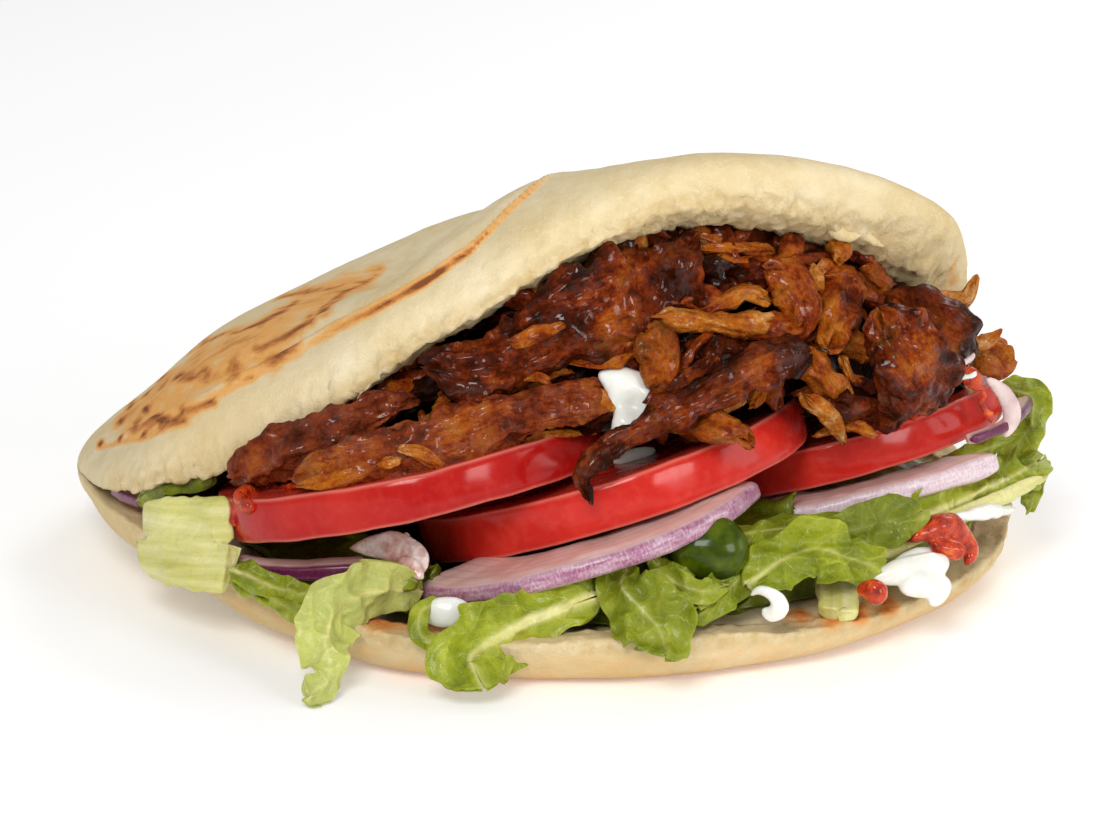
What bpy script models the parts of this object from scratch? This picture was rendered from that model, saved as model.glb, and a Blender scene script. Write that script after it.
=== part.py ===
"""Doner kebab sandwich: a flat bread pocket cut open along its front, filled with carved meat, tomato, red
onion, green pepper and lettuce. Metres, +Z up, resting on the bread's flat underside. The mouth faces -Y.
Every shape is worked out in millimetres from the sizes below; the origin is the bottom centre of the whole."""

import math

import bmesh
import bpy
import numpy as np
from mathutils import Vector

MM = 0.001
GAP = 0.45                # clearance kept between neighbouring pieces

# --- bread pocket ---
BREAD_R = 93.0            # radius of the round loaf
EDGE_Z = 11.0             # height of the seam edge where the two halves are still joined
POLE_Z = 51.5             # mid surface of the upper half at its centre
DOME_POLE = 18.5          # thickness of the dome over its mid surface at the centre
DOME_LEFT, DOME_RIGHT, DOME_BACK = 28.5, 19.0, 13.0
MOUTH_MID = -62.0         # direction of the middle of the mouth, degrees from +X
MOUTH_HALF = 116.0        # half the angle that the mouth spans
LIP_RISE = 74.0           # how far the upper lip stands over the seam edge at the middle of the mouth
LIP_PULL = 31.0           # how far that lip is drawn in
PULL_MID, PULL_HALF = -73.0, 108.5   # where it is drawn in most, and half the angle it spans
DENT = 9.0                # flat on the lower half, front left
DENT_MID, DENT_HALF = -137.0, 38.0
RIM_DROP = 3.5            # lower rim pressed down at the front right
CORNER_LIFT = 6.0         # the left corner curls off the table
FLARE = 0.85              # lean of the upper rim at the right
DOME_FALL, BOXY = 3.5, 4.5   # how late the dome falls to the rim, and how much later at the right
WALL = 7.0
FLOOR = 6.5               # thickness of the lower half under the filling

# --- tomato slices: centre x, y, z, slope along x, slope along y, radius, thickness ---
TOMATO = {
    "tomato_slice_left": (-25.0, -45.0, 29.1, 0.22, -0.15, 38.5, 8.6),
    "tomato_slice_middle": (12.9, -36.0, 26.0, 0.32, -0.13, 38.5, 9.0),
    "tomato_slice_right": (58.5, -9.0, 26.2, 0.28, -0.13, 33.0, 7.8),
}
# --- onion arcs: centre x, y, z, slopes, outer radius, ring width, thickness, first and last angle ---
ONION = {
    "onion_slice_middle": (6.9, -51.0, 19.2, 0.30, -0.09, 37.0, 9.0, 4.6, -152.0, -12.0),
    "onion_slice_right": (59.5, -17.0, 19.0, 0.23, -0.15, 34.0, 7.5, 4.8, -158.0, -28.0),
    "onion_slice_left": (-37.0, -33.0, 15.8, 0.05, -0.02, 37.4, 6.0, 3.2, -130.0, -84.0),
    "onion_tip_left": (-59.0, -16.0, 19.4, 0.0, 0.0, 28.0, 4.5, 2.4, -160.0, -134.0),
    "onion_slice_behind": (60.6, -13.0, 24.3, 0.27, -0.12, 36.6, 3.4, 2.0, -50.0, 6.0),
}
# --- slabs: control points (x, y, z, half width, half thickness), width standing up by the given angle ---
SLABS = {
    "meat_slice_left_low": (78.0, ((-51, -70.5, 37.2, 3.6, 2.6), (-30, -73.0, 42.4, 4.8, 3.2),
                                   (-8, -69.0, 47.0, 4.9, 3.4), (15, -61.0, 50.2, 4.2, 3.0))),
    "meat_slice_left_high": (62.0, ((-59, -58.0, 30.8, 2.6, 2.0), (-46, -62.5, 37.2, 3.6, 2.6),
                                    (-31, -63.0, 44.6, 4.0, 2.8), (-17, -57.5, 50.6, 3.4, 2.4))),
    "meat_slice_big": (58.0, ((-24, -67.0, 54.6, 3.0, 2.6), (-8, -64.0, 61.0, 6.0, 3.6),
                              (10, -59.0, 67.0, 8.2, 4.2), (27, -51.0, 75.5, 6.5, 3.2))),
    "meat_strip_front": (55.0, ((9.0, -78.5, 36.5, 1.6, 1.4), (20, -73.0, 44.5, 2.6, 2.0),
                                (36, -64.0, 52.0, 4.2, 2.6), (53, -54.0, 57.0, 5.0, 3.0))),
    "meat_chunk_front": (75.0, ((27, -69.0, 42.3, 1.4, 2.0), (34, -67.5, 44.4, 2.2, 3.0),
                                (41, -64.0, 46.2, 1.6, 2.2))),
    "meat_slice_right": (80.0, ((62, -50.0, 51.5, 7.0, 3.2), (72, -46.0, 50.5, 10.0, 3.8),
                                (83, -37.0, 50.5, 8.0, 3.4))),
    "meat_end_right": (20.0, ((79, -17.0, 43.6, 3.5, 2.4), (86, -16.0, 44.6, 4.4, 3.0),
                              (92.5, -16.0, 45.2, 2.4, 1.8))),
}
# --- leaves: control points (x, y, z, half width) and the crinkle's depth ---
LEAVES = {
    "lettuce_leaf_left": (1.2, ((-29, -76.5, 15.0, 6.5), (-36.5, -84.0, 15.2, 8.2), (-41.0, -90.5, 11.5, 7.8),
                                (-42.0, -94.5, 6.0, 4.0), (-44.5, -98.0, 1.9, 2.2))),
    "lettuce_leaf_middle": (1.2, ((-5.0, -84.5, 13.2, 8.0), (-6.5, -92.0, 14.6, 12.5), (-9.0, -98.0, 10.5, 11.0),
                                  (-11.0, -101.0, 4.0, 4.5))),
    "lettuce_leaf_curled": (1.3, ((22.0, -82.5, 15.5, 5.0), (23.0, -91.0, 14.2, 8.0), (24.0, -95.5, 9.5, 7.5),
                                  (25.5, -97.5, 4.5, 3.0))),
    "lettuce_rib_left": (0.5, ((-71.0, -46.0, 23.0, 6.6), (-69.5, -56.0, 19.4, 7.2), (-67.5, -64.5, 12.8, 7.0))),
    "lettuce_rib_right": (0.3, ((57.5, -62.0, 13.5, 4.2), (58.0, -73.0, 10.6, 4.6))),
    "lettuce_leaf_right": (1.2, ((69.0, -54.0, 14.5, 4.0), (84.0, -43.0, 18.6, 4.6), (94.0, -30.0, 25.6, 4.8),
                                 (97.8, -15.5, 31.6, 2.8))),
}
LEAF_THICK = 1.3
# --- green pepper: centre, half sizes, turn about Z in degrees ---
PEPPER = ((33.0, -73.0, 18.2), (8.2, 5.0, 6.0), 12.0)
# --- filling under and behind the slices ---
MEAT_REACH = ((-180, 62), (-150, 72), (-125, 74), (-95, 67), (-62, 68), (-38, 74), (-12, 85), (8, 83), (28, 69),
              (60, 60), (90, 57), (120, 56), (150, 56))
BED_REACH = ((-180, 66), (-150, 68), (-120, 76), (-90, 83), (-60, 82), (-30, 82), (0, 82), (30, 76), (60, 62),
             (90, 54), (120, 52), (150, 56))

COLOURS = {
    "bread": (0.80, 0.66, 0.42), "tomato": (0.55, 0.03, 0.02), "onion": (0.52, 0.30, 0.48),
    "lettuce": (0.33, 0.52, 0.06), "meat": (0.16, 0.045, 0.018), "pepper": (0.04, 0.12, 0.01),
}


def bump(angle, mid, half):
    """One smooth cosine-squared bump of height 1 about mid, zero from half away on (degrees)."""
    off = (np.asarray(angle, float) - mid + 180.0) % 360.0 - 180.0
    return np.where(np.abs(off) < half, np.cos(np.pi / 2 * np.clip(off / half, -1, 1)) ** 2, 0.0)


def smooth(t):
    t = np.clip(t, 0.0, 1.0)
    return t * t * (3 - 2 * t)


def corner_lift(x):
    return CORNER_LIFT * smooth((-np.asarray(x, float) - 35.0) / 55.0)


def upper_half(angle, rho, inner):
    """The upper half at this direction and share of the radius: a surface from the pole to the lip, plus the dome."""
    opening = bump(angle, MOUTH_MID, MOUTH_HALF)
    reach = BREAD_R - LIP_PULL * bump(angle, PULL_MID, PULL_HALF)
    lip = EDGE_Z + LIP_RISE * opening
    dome = DOME_BACK + (DOME_LEFT - DOME_BACK) * bump(angle, -125.0, 65.0) + (DOME_RIGHT - DOME_BACK) * bump(
        angle, -40.0, 70.0)
    wall = WALL if inner else 0.0
    share = rho * (reach - wall) / reach
    fall = DOME_FALL + BOXY * bump(angle, -25.0, 80.0)
    over = (DOME_POLE - wall + (dome - DOME_POLE) * rho**2) * np.sqrt(1 - np.clip(rho, 0, 1) ** fall)
    lean = 0.0 if inner else FLARE * bump(angle, -12.0, 80.0) * over * rho**6
    r = reach * share + lean
    x, y = r * np.cos(np.radians(angle)), r * np.sin(np.radians(angle))
    z = POLE_Z + (lip - POLE_Z) * share**1.35 + over
    return np.stack([x, y, z + corner_lift(x)], -1)


def lower_half(angle, rho, inner):
    """The lower half: flat in the middle, curving up to the rim."""
    reach = BREAD_R - DENT * bump(angle, DENT_MID, DENT_HALF)
    rim = EDGE_Z - RIM_DROP * bump(angle, -38.0, 45.0)
    flat, low = (0.82, FLOOR) if inner else (0.86, 0.0)
    r = rho * (reach - (WALL if inner else 0.0))
    turn = np.clip((rho - flat) / (1 - flat), 0, 1)
    x, y = r * np.cos(np.radians(angle)), r * np.sin(np.radians(angle))
    z = low + (rim - np.minimum(low, rim)) * (1 - np.sqrt(1 - turn**2))
    return np.stack([x, y, z + corner_lift(x)], -1)


def periodic(table, angle):
    """A smooth closed curve through (degrees, value) pairs."""
    keys = [k for k, _ in table]
    keys.append(keys[0] + 360)
    values = [v for _, v in table]
    values.append(values[0])
    out = np.zeros_like(angle, dtype=float)
    for a, b, u, v in zip(keys, keys[1:], values, values[1:]):
        here = (angle >= a) & (angle <= b)
        out = np.where(here, u + (v - u) * smooth((angle - a) / (b - a)), out)
    return out


def slice_level(spec, x, y, side):
    """Height of a slice's top (side 1) or underside (side -1), and how far a point is outside its outline."""
    cx, cy, cz, a, b, radius, thick = spec
    rise = a * (x - cx) + b * (y - cy)
    out = np.sqrt((x - cx) ** 2 + (y - cy) ** 2 + rise**2) - radius
    return cz + rise + side * thick / 2 * math.sqrt(1 + a * a + b * b), np.maximum(out, 0.0)


# --- Blender helpers ---
for old in list(bpy.data.objects):
    bpy.data.objects.remove(old, do_unlink=True)

kebab = bpy.data.collections.new("doner_kebab_sandwich")
cutters = bpy.data.collections.new("cutters")
for group in (kebab, cutters):
    bpy.context.scene.collection.children.link(group)


def material(name):
    found = bpy.data.materials.get(name)
    if found:
        return found
    made = bpy.data.materials.new(name)
    made.use_nodes = True
    shader = made.node_tree.nodes["Principled BSDF"]
    shader.inputs["Base Color"].default_value = (*COLOURS[name], 1.0)
    shader.inputs["Roughness"].default_value = 0.8 if name == "bread" else 0.35
    shader.inputs["Metallic"].default_value = 0.0
    return made


def keep(obj, name, look, group=kebab):
    """Names the object and its mesh, gives it its material and puts it in its collection."""
    obj.name = name
    obj.data.name = name
    for user in list(obj.users_collection):
        user.objects.unlink(obj)
    group.objects.link(obj)
    obj.data.materials.clear()
    obj.data.materials.append(material(look))
    obj.data.shade_smooth()
    obj.data.set_sharp_from_angle(angle=math.radians(45))
    return obj


def solid(name, look, points, faces):
    """A closed mesh from points in millimetres, its faces turned outward."""
    mesh = bpy.data.meshes.new(name)
    mesh.from_pydata([tuple(p) for p in np.asarray(points, float) * MM], [], faces)
    bm = bmesh.new()
    bm.from_mesh(mesh)
    bmesh.ops.recalc_face_normals(bm, faces=bm.faces)
    bm.to_mesh(mesh)
    bm.free()
    return keep(bpy.data.objects.new(name, mesh), name, look)


def rings(count, around, start=0):
    """Quads between rings of points that follow each other, each ring closed on itself."""
    return [
        (start + i * around + j, start + i * around + (j + 1) % around,
         start + (i + 1) * around + (j + 1) % around, start + (i + 1) * around + j)
        for i in range(count - 1) for j in range(around)
    ]


def tube(name, look, sections):
    """A body lofted through closed sections of equal count, its ends closed by a point each."""
    sections = np.asarray(sections, float)
    count, around, _ = sections.shape
    first, last = count * around, count * around + 1
    points = np.concatenate([sections.reshape(-1, 3), sections[0].mean(0)[None], sections[-1].mean(0)[None]])
    faces = rings(count, around)
    faces += [(first, (j + 1) % around, j) for j in range(around)]
    faces += [(last, (count - 1) * around + j, (count - 1) * around + (j + 1) % around) for j in range(around)]
    return solid(name, look, points, faces)


def along(controls, steps):
    """A smooth line through control rows, steps points to each span (Catmull-Rom)."""
    rows = np.asarray(controls, float)
    rows = np.concatenate([[2 * rows[0] - rows[1]], rows, [2 * rows[-1] - rows[-2]]])
    out = []
    for i in range(1, len(rows) - 2):
        a, b, c, d = rows[i - 1:i + 3]
        for t in np.arange(steps) / steps:
            out.append(0.5 * (2 * b + (c - a) * t + (2 * a - 5 * b + 4 * c - d) * t**2
                              + (3 * b - a - 3 * c + d) * t**3))
    out.append(rows[-2])
    return np.array(out)


def frame_of(line):
    """Unit direction and level sideways vector at each point of a line."""
    way = np.gradient(line, axis=0)
    way /= np.linalg.norm(way, axis=1, keepdims=True)
    side = np.cross(way, (0.0, 0.0, 1.0))
    side /= np.linalg.norm(side, axis=1, keepdims=True)
    return way, side


# --- bread: four surfaces (outer and inner of each half) that share their edge behind and part at the mouth ---
def make_bread():
    mouth, back = 34, 12
    left, right = MOUTH_MID - MOUTH_HALF, MOUTH_MID + MOUTH_HALF
    angles = np.concatenate([np.linspace(left, right, mouth + 1), np.linspace(right, left + 360, back + 1)[1:-1]])
    around = len(angles)
    points, faces = [], []

    def ring(values):
        points.extend(values)
        return list(range(len(points) - len(values), len(points)))

    def cap(half, inner, steps, edge):
        """Rings from next to the edge in to the pole, joined to the given edge ring."""
        outer = edge
        for rho in steps:
            here = ring(half(angles, np.full(around, rho), inner))
            faces.extend([(outer[j], outer[(j + 1) % around], here[(j + 1) % around], here[j])
                          for j in range(around)])
            outer = here
        pole = ring(half(np.array([0.0]), np.array([0.0]), inner))[0]
        faces.extend([(outer[j], outer[(j + 1) % around], pole) for j in range(around)])

    dome = [math.sin(math.radians(t)) for t in (83, 76, 68, 60, 50, 38, 26, 13)]
    edges = {}
    for inner in (False, True):
        low = ring(lower_half(angles, np.ones(around), inner))
        parted = upper_half(angles, np.ones(around), inner)
        high = [ring([parted[j]])[0] if 0 < j < mouth else low[j] for j in range(around)]
        edges[inner] = (low, high)
        cap(lower_half, inner, (0.985, 0.95, 0.9, 0.82, 0.66, 0.4) if inner else (0.99, 0.965, 0.93, 0.86, 0.65, 0.4), low)
        cap(upper_half, inner, dome[1::2] if inner else dome, high)
    for which in (0, 1):
        outside, inside = edges[False][which], edges[True][which]
        faces.extend([(outside[j], outside[j + 1], inside[j + 1], inside[j]) for j in range(mouth)])
    return solid("bread", "bread", points, faces)


def make_tomato(name, spec):
    """A whole slice: a tilted disc with a softly rounded skin."""
    x, y, z, a, b, radius, thick = spec
    bpy.ops.mesh.primitive_cylinder_add(vertices=38, radius=radius * MM, depth=thick * MM)
    disc = keep(bpy.context.active_object, name, "tomato")
    disc.location = Vector((x, y, z)) * MM
    disc.rotation_euler = Vector((-a, -b, 1)).to_track_quat("Z", "Y").to_euler()
    edge = disc.modifiers.new("rounded skin", "BEVEL")
    edge.width, edge.segments, edge.limit_method = 1.3 * MM, 1, "ANGLE"
    return disc


def make_onion(name, spec):
    """An arc of an onion ring on a tilted plane, its skin side a little rounded."""
    x, y, z, a, b, radius, width, thick, first, last = spec
    up = np.array([-a, -b, 1.0])
    up /= np.linalg.norm(up)
    ex = np.array([1.0, 0.0, a])
    ex /= np.linalg.norm(ex)
    ey = np.cross(up, ex)
    section = [(0.0, -0.3), (0.35, -0.5), (1.0, -0.46), (1.0, 0.46), (0.35, 0.5), (0.0, 0.3)]
    count = max(6, int(abs(last - first) / 8))
    sections = []
    for angle in np.radians(np.linspace(first, last, count)):
        out = ex * math.cos(angle) + ey * math.sin(angle)
        sections.append([np.array([x, y, z]) + out * (radius - width * s) + up * thick * t for s, t in section])
    return tube(name, "onion", sections)


def make_slab(name, spec):
    """A carved strip: an oval section, its broad side leaning by the given angle, along a curved line."""
    lean, controls = spec
    rows = along(controls, 4)
    line = rows[:, :3]
    way, side = frame_of(line)
    up = np.cross(side, way)
    broad = side * math.cos(math.radians(lean)) + up * math.sin(math.radians(lean))
    flat = np.cross(way, broad)
    sections = []
    for i, row in enumerate(rows):
        end = 0.55 if i in (0, len(rows) - 1) else 1.0
        turn = np.radians(np.arange(0, 360, 36))
        wavy = 1 + 0.10 * np.sin(3 * turn + 1.7 * i)
        sections.append(line[i] + np.outer(np.cos(turn) * wavy, broad[i]) * row[3] * end
                        + np.outer(np.sin(turn) * wavy, flat[i]) * row[4] * end)
    return tube(name, "meat", sections)


def make_leaf(name, spec):
    """A thin crinkled leaf along a drooping line, closed all round."""
    crinkle, controls = spec
    rows = along(controls, 4)
    line = rows[:, :3]
    way, side = frame_of(line)
    up = np.cross(side, way)
    across = np.linspace(-1, 1, 7)
    wave = crinkle * np.sin(np.outer(np.arange(len(rows)) * 0.9, np.ones(7)) + across * 4.0) * np.abs(across)
    sheet = line[:, None] + side[:, None] * across[:, None] * rows[:, 3, None, None] + up[:, None] * wave[..., None]
    top = sheet + up[:, None] * LEAF_THICK / 2
    under = sheet - up[:, None] * LEAF_THICK / 2
    return tube(name, "lettuce", np.concatenate([top, under[:, ::-1]], axis=1))


def make_pepper():
    centre, half, turn = PEPPER
    bpy.ops.mesh.primitive_uv_sphere_add(segments=18, ring_count=10, radius=MM)
    piece = keep(bpy.context.active_object, "green_pepper", "pepper")
    piece.location = Vector(centre) * MM
    piece.rotation_euler = (0, 0, math.radians(turn))
    piece.scale = half
    return piece


def lens(name, look, reach, bottom, top, centre, rows, around):
    """A heap between a bottom and a top surface, both functions of x and y, over a round outline."""
    angles = np.linspace(-180, 180, around, endpoint=False)
    reach = periodic(reach, angles)
    layers = []
    shares = np.sin(np.linspace(0, np.pi / 2, rows + 1))[1:]
    for level in (top, bottom):
        for share in shares:
            x = centre[0] + share * reach * np.cos(np.radians(angles))
            y = centre[1] + share * reach * np.sin(np.radians(angles))
            low, high = bottom(x, y), top(x, y)
            if level is top and share < 1:
                z = low + (high - low) * np.sqrt(1 - share**8)
            elif level is bottom and share < 1:
                z = low
            else:
                z = low + 0.6
            layers.append(np.stack([x, y, z], -1))
    points, faces = [], []
    for side in (layers[:rows], layers[rows:-1] + [layers[rows - 1]]):
        middle = len(points)
        x, y = np.array([centre[0]]), np.array([centre[1]])
        z = top(x, y) if side is not None and len(points) == 0 else bottom(x, y)
        points.append((centre[0], centre[1], float(z[0])))
        start = len(points)
        kept = side if len(points) == 1 else side[:-1]
        for layer in kept:
            points.extend(layer)
        faces += [(middle, start + j, start + (j + 1) % around) for j in range(around)]
        faces += rings(len(kept), around, start)
        if middle:
            rim, inner = 1 + (rows - 1) * around, start + (len(kept) - 1) * around
            faces += [(inner + j, inner + (j + 1) % around, rim + (j + 1) % around, rim + j) for j in range(around)]
    return solid(name, look, points, faces)


def base_level(x):
    """The level where the meat gives way to the salad."""
    return 22.0 + 6.0 * smooth(np.asarray(x) / 50.0)


def floor_level(x, y):
    angle = np.degrees(np.arctan2(y, x))
    reach = BREAD_R - DENT * bump(angle, DENT_MID, DENT_HALF) - WALL
    rho = np.clip(np.hypot(x, y) / reach, 0, 1)
    rim = np.maximum(EDGE_Z - RIM_DROP * bump(angle, -38.0, 45.0), FLOOR)
    turn = np.clip((rho - 0.82) / 0.18, 0, 1)
    return FLOOR + (rim - FLOOR) * (1 - np.sqrt(1 - turn**2)) + corner_lift(x) + 0.3 * turn


def ceiling_level(x, y):
    """Underside of the upper half over a point, and on past its lip."""
    angle = np.degrees(np.arctan2(y, x))
    opening = bump(angle, MOUTH_MID, MOUTH_HALF)
    reach = BREAD_R - LIP_PULL * bump(angle, PULL_MID, PULL_HALF) - WALL
    rho = np.hypot(x, y) / reach
    inside = upper_half(angle, np.clip(rho, 0, 1), True)[..., 2]
    return inside - 2.0 * np.clip(rho - 1, 0, None)


def lumps(x, y, size):
    return (np.sin(x / size + 1.3 * np.sin(y / size * 0.7)) * np.cos(y / size * 1.1 + 0.9 * np.sin(x / size * 0.8)))


def meat_bottom(x, y):
    level = base_level(x) + 0.8
    for spec in TOMATO.values():
        top, out = slice_level(spec, x, y, 1)
        level = np.maximum(level, top + GAP + 0.6 - 1.3 * np.maximum(out - 3.5, 0))
    return level


def meat_top(x, y):
    return np.maximum(ceiling_level(x, y) - 2.1 - 0.9 * (1 + lumps(x, y, 6.5)), meat_bottom(x, y) + 0.5)


def bed_top(x, y):
    level = base_level(x) - 1.2
    for spec in TOMATO.values():
        under, out = slice_level(spec, x, y, -1)
        level = np.minimum(level, under - GAP - 0.7 + 1.3 * np.maximum(out - 2.5, 0))
    return np.maximum(level - 0.5 * (1 + lumps(x, y, 5.0)), floor_level(x, y) + 1.2)


def bed_bottom(x, y):
    return floor_level(x, y) + GAP + 0.6 * smooth((-x - 30.0) / 30.0)


def cut_clear(heap, neighbours):
    """Cuts a heap clear of its neighbours, with the gap, and keeps its largest piece."""
    for other in neighbours:
        evaluated = other.evaluated_get(bpy.context.evaluated_depsgraph_get())
        mesh = bpy.data.meshes.new_from_object(evaluated)
        mesh.transform(other.matrix_world)
        bm = bmesh.new()
        bm.from_mesh(mesh)
        bm.normal_update()
        for vert in bm.verts:
            vert.co += vert.normal * GAP * 1.8 * MM
        bm.to_mesh(mesh)
        bm.free()
        cutter = keep(bpy.data.objects.new(f"clear_{other.name}", mesh), f"clear_{heap.name}_{other.name}", "meat",
                      cutters)
        cutter.hide_render, cutter.display_type = True, "WIRE"
        cut = heap.modifiers.new("clear of " + other.name, "BOOLEAN")
        cut.operation, cut.solver, cut.object = "DIFFERENCE", "EXACT", cutter
    bpy.context.view_layer.update()
    mesh = bpy.data.meshes.new_from_object(heap.evaluated_get(bpy.context.evaluated_depsgraph_get()))
    bm = bmesh.new()
    bm.from_mesh(mesh)
    bmesh.ops.remove_doubles(bm, verts=bm.verts, dist=0.02 * MM)
    bmesh.ops.dissolve_degenerate(bm, edges=bm.edges, dist=0.01 * MM)
    left, pieces = set(bm.faces), []
    while left:
        todo, piece = [left.pop()], set()
        while todo:
            face = todo.pop()
            piece.add(face)
            for edge in face.edges:
                for near in edge.link_faces:
                    if near in left:
                        left.discard(near)
                        todo.append(near)
        pieces.append(piece)
    pieces.sort(key=lambda piece: -sum(face.calc_area() for face in piece))
    bmesh.ops.delete(bm, geom=[face for piece in pieces[1:] for face in piece], context="FACES")
    bmesh.ops.triangulate(bm, faces=bm.faces)
    heap.modifiers.clear()
    bm.to_mesh(heap.data)
    bm.free()


bread = make_bread()
slices = [make_tomato(name, spec) for name, spec in TOMATO.items()]
onions = [make_onion(name, spec) for name, spec in ONION.items()]
carved = [make_slab(name, spec) for name, spec in SLABS.items()]
leaves = [make_leaf(name, spec) for name, spec in LEAVES.items()]
pepper = make_pepper()
meat = lens("meat_heap", "meat", MEAT_REACH, meat_bottom, meat_top, (0.0, 0.0), 10, 42)
bed = lens("lettuce_bed", "lettuce", BED_REACH, bed_bottom, bed_top, (0.0, 0.0), 8, 40)
bpy.context.view_layer.update()
cut_clear(meat, carved + onions[-1:])
cut_clear(bed, onions + leaves + [pepper])

# --- origin at the bottom centre of the whole ---
bpy.context.view_layer.update()
graph = bpy.context.evaluated_depsgraph_get()
corners = []
for obj in kebab.objects:
    shown = obj.evaluated_get(graph)
    corners += [shown.matrix_world @ vert.co for vert in shown.data.vertices]
low = Vector([min(c[i] for c in corners) for i in range(3)])
high = Vector([max(c[i] for c in corners) for i in range(3)])
shift = Vector(((low.x + high.x) / 2, (low.y + high.y) / 2, low.z))
for obj in list(kebab.objects) + list(cutters.objects):
    obj.location -= shift
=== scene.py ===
"""Looks of a doner kebab sandwich: bread, carved meat, tomato, red onion, green pepper, lettuce and sauces.

Not all of the numbers here were chosen by hand. The places in GRILL_MARKS, CARVED, SHAVINGS, LEAVES,
PEPPERS and SAUCES were printed by separate placing programs and pasted in, and some were then changed by
hand. FOLD was typed in from such a program's output, and TOMATO and ONION began as the output of a
fitting program.
"""
import math

import bmesh
import bpy
import numpy as np
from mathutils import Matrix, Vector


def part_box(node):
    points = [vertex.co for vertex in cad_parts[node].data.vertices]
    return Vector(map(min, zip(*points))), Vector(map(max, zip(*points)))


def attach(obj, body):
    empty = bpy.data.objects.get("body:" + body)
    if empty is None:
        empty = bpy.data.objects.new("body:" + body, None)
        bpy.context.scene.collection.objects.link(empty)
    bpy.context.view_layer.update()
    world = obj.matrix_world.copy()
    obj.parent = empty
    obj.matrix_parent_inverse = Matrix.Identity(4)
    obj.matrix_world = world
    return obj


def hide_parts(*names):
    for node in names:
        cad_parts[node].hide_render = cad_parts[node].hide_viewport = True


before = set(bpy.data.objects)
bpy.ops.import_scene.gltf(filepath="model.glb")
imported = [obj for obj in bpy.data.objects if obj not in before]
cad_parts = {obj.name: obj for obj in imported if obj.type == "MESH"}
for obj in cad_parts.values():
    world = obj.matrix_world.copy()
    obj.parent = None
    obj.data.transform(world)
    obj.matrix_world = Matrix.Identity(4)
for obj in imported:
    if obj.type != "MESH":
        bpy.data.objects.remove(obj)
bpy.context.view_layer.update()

MM = 0.001
LOW, HIGH = (np.array(corner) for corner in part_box("bread"))
# the middle of the loaf, on the table
CENTRE = np.array([(LOW[0] + HIGH[0]) / 2, (LOW[1] + HIGH[1]) / 2, LOW[2]])
TILT = math.radians(16)   # how far above the table the sandwich is looked at from
OUTWARD = np.array([0.0, -math.cos(TILT), math.sin(TILT)])   # out of the mouth, the way the broad sides face


# ---------- numbers, noise and meshes ----------
def smooth(t):
    """A smoothstep: 0 below 0, 1 above 1, and 3t^2 - 2t^3 between."""
    t = np.clip(t, 0.0, 1.0)
    return t * t * (3 - 2 * t)


def bell(off, width):
    """A bell of height 1: e to the minus square of the distance over the width."""
    return np.exp(-(off / width) ** 2)


def hump(off, half):
    """A cosine-squared hump of height 1 at 0, zero from half away on."""
    return np.where(np.abs(off) < half, np.cos(np.pi / 2 * np.clip(off / half, -1, 1)) ** 2, 0.0)


def wrapped(angle):
    """An angle in degrees brought between -180 and 180."""
    return (np.asarray(angle, float) + 180.0) % 360.0 - 180.0


def bump(angle, mid, half):
    """A hump about the direction mid, in degrees."""
    return hump(wrapped(np.asarray(angle, float) - mid), half)


def signed_power(value, power):
    """A value with its size raised to a power and its sign kept, which squares off or thins an oval."""
    return np.sign(value) * np.abs(value) ** power


def closed_ends(share, power, least, curve):
    """The width left at a share of the length: 1 along the middle, falling to almost 0 at both ends."""
    return np.clip(1 - np.abs(2 * share - 1) ** power, least, 1) ** curve


def circle(count):
    """A row of even directions once round a section, in radians."""
    return np.linspace(0, 2 * np.pi, count, endpoint=False)[None, :]


def stacked(*values):
    """Values that fit together, spread to one shape and stacked as the last axis."""
    return np.stack(np.broadcast_arrays(*values), -1)


def unit(v):
    """Vectors at length 1."""
    return v / np.maximum(np.linalg.norm(v, axis=-1, keepdims=True), 1e-12)


LATTICE = np.random.default_rng(11).random((32, 32, 32))


def noise(points, size, seed=0):
    """Value noise from -1 to 1: random numbers on a cubic lattice of that spacing, blended with a
    smoothstep."""
    q = np.asarray(points, float) / size + 5.37 * seed + 0.41
    cell = np.floor(q).astype(int)
    t = smooth(q - cell)
    total = 0.0
    for corner in np.ndindex(2, 2, 2):
        weight = np.prod(np.where(np.array(corner) == 1, t, 1 - t), -1)
        at = (cell + corner) % len(LATTICE)
        total = total + weight * LATTICE[at[..., 0], at[..., 1], at[..., 2]]
    return 2 * total - 1


def rough(points, size, octaves=3, seed=0):
    """Fractal noise: each octave has half the size and half the height of the last."""
    return sum(noise(points, size / 2**k, seed + 3 * k) / 2**k for k in range(octaves))


def shake(points, size, seed=0):
    """Three noises as a vector, so that points shared by two surfaces move together."""
    return np.stack([noise(points, size, seed + 20 * k) for k in range(3)], -1)


def along(stations, count):
    """A Catmull-Rom spline through the rows of stations, at count even steps."""
    p = np.asarray(stations, float)
    p = np.concatenate([[2 * p[0] - p[1]], p, [2 * p[-1] - p[-2]]])
    t = np.linspace(0, len(p) - 3, count)
    i = np.minimum(t.astype(int), len(p) - 4)
    f = (t - i)[:, None]
    a, b, c, d = p[i], p[i + 1], p[i + 2], p[i + 3]
    return 0.5 * (2 * b + (c - a) * f + (2 * a - 5 * b + 4 * c - d) * f**2 + (3 * b - a - 3 * c + d) * f**3)


def spline_length(stations):
    """The length of the spline through the stations, in mm, from twelve points along it."""
    return np.linalg.norm(np.diff(along(stations, 12)[:, :3], axis=0), axis=1).sum()


def facing(line):
    """The way along a line, and two directions square to it: across it, facing outward, and into its
    depth."""
    way = unit(np.gradient(line[:, :3], axis=0))
    broad = unit(np.cross(way, OUTWARD))
    return way, broad, np.cross(broad, way)


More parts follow.
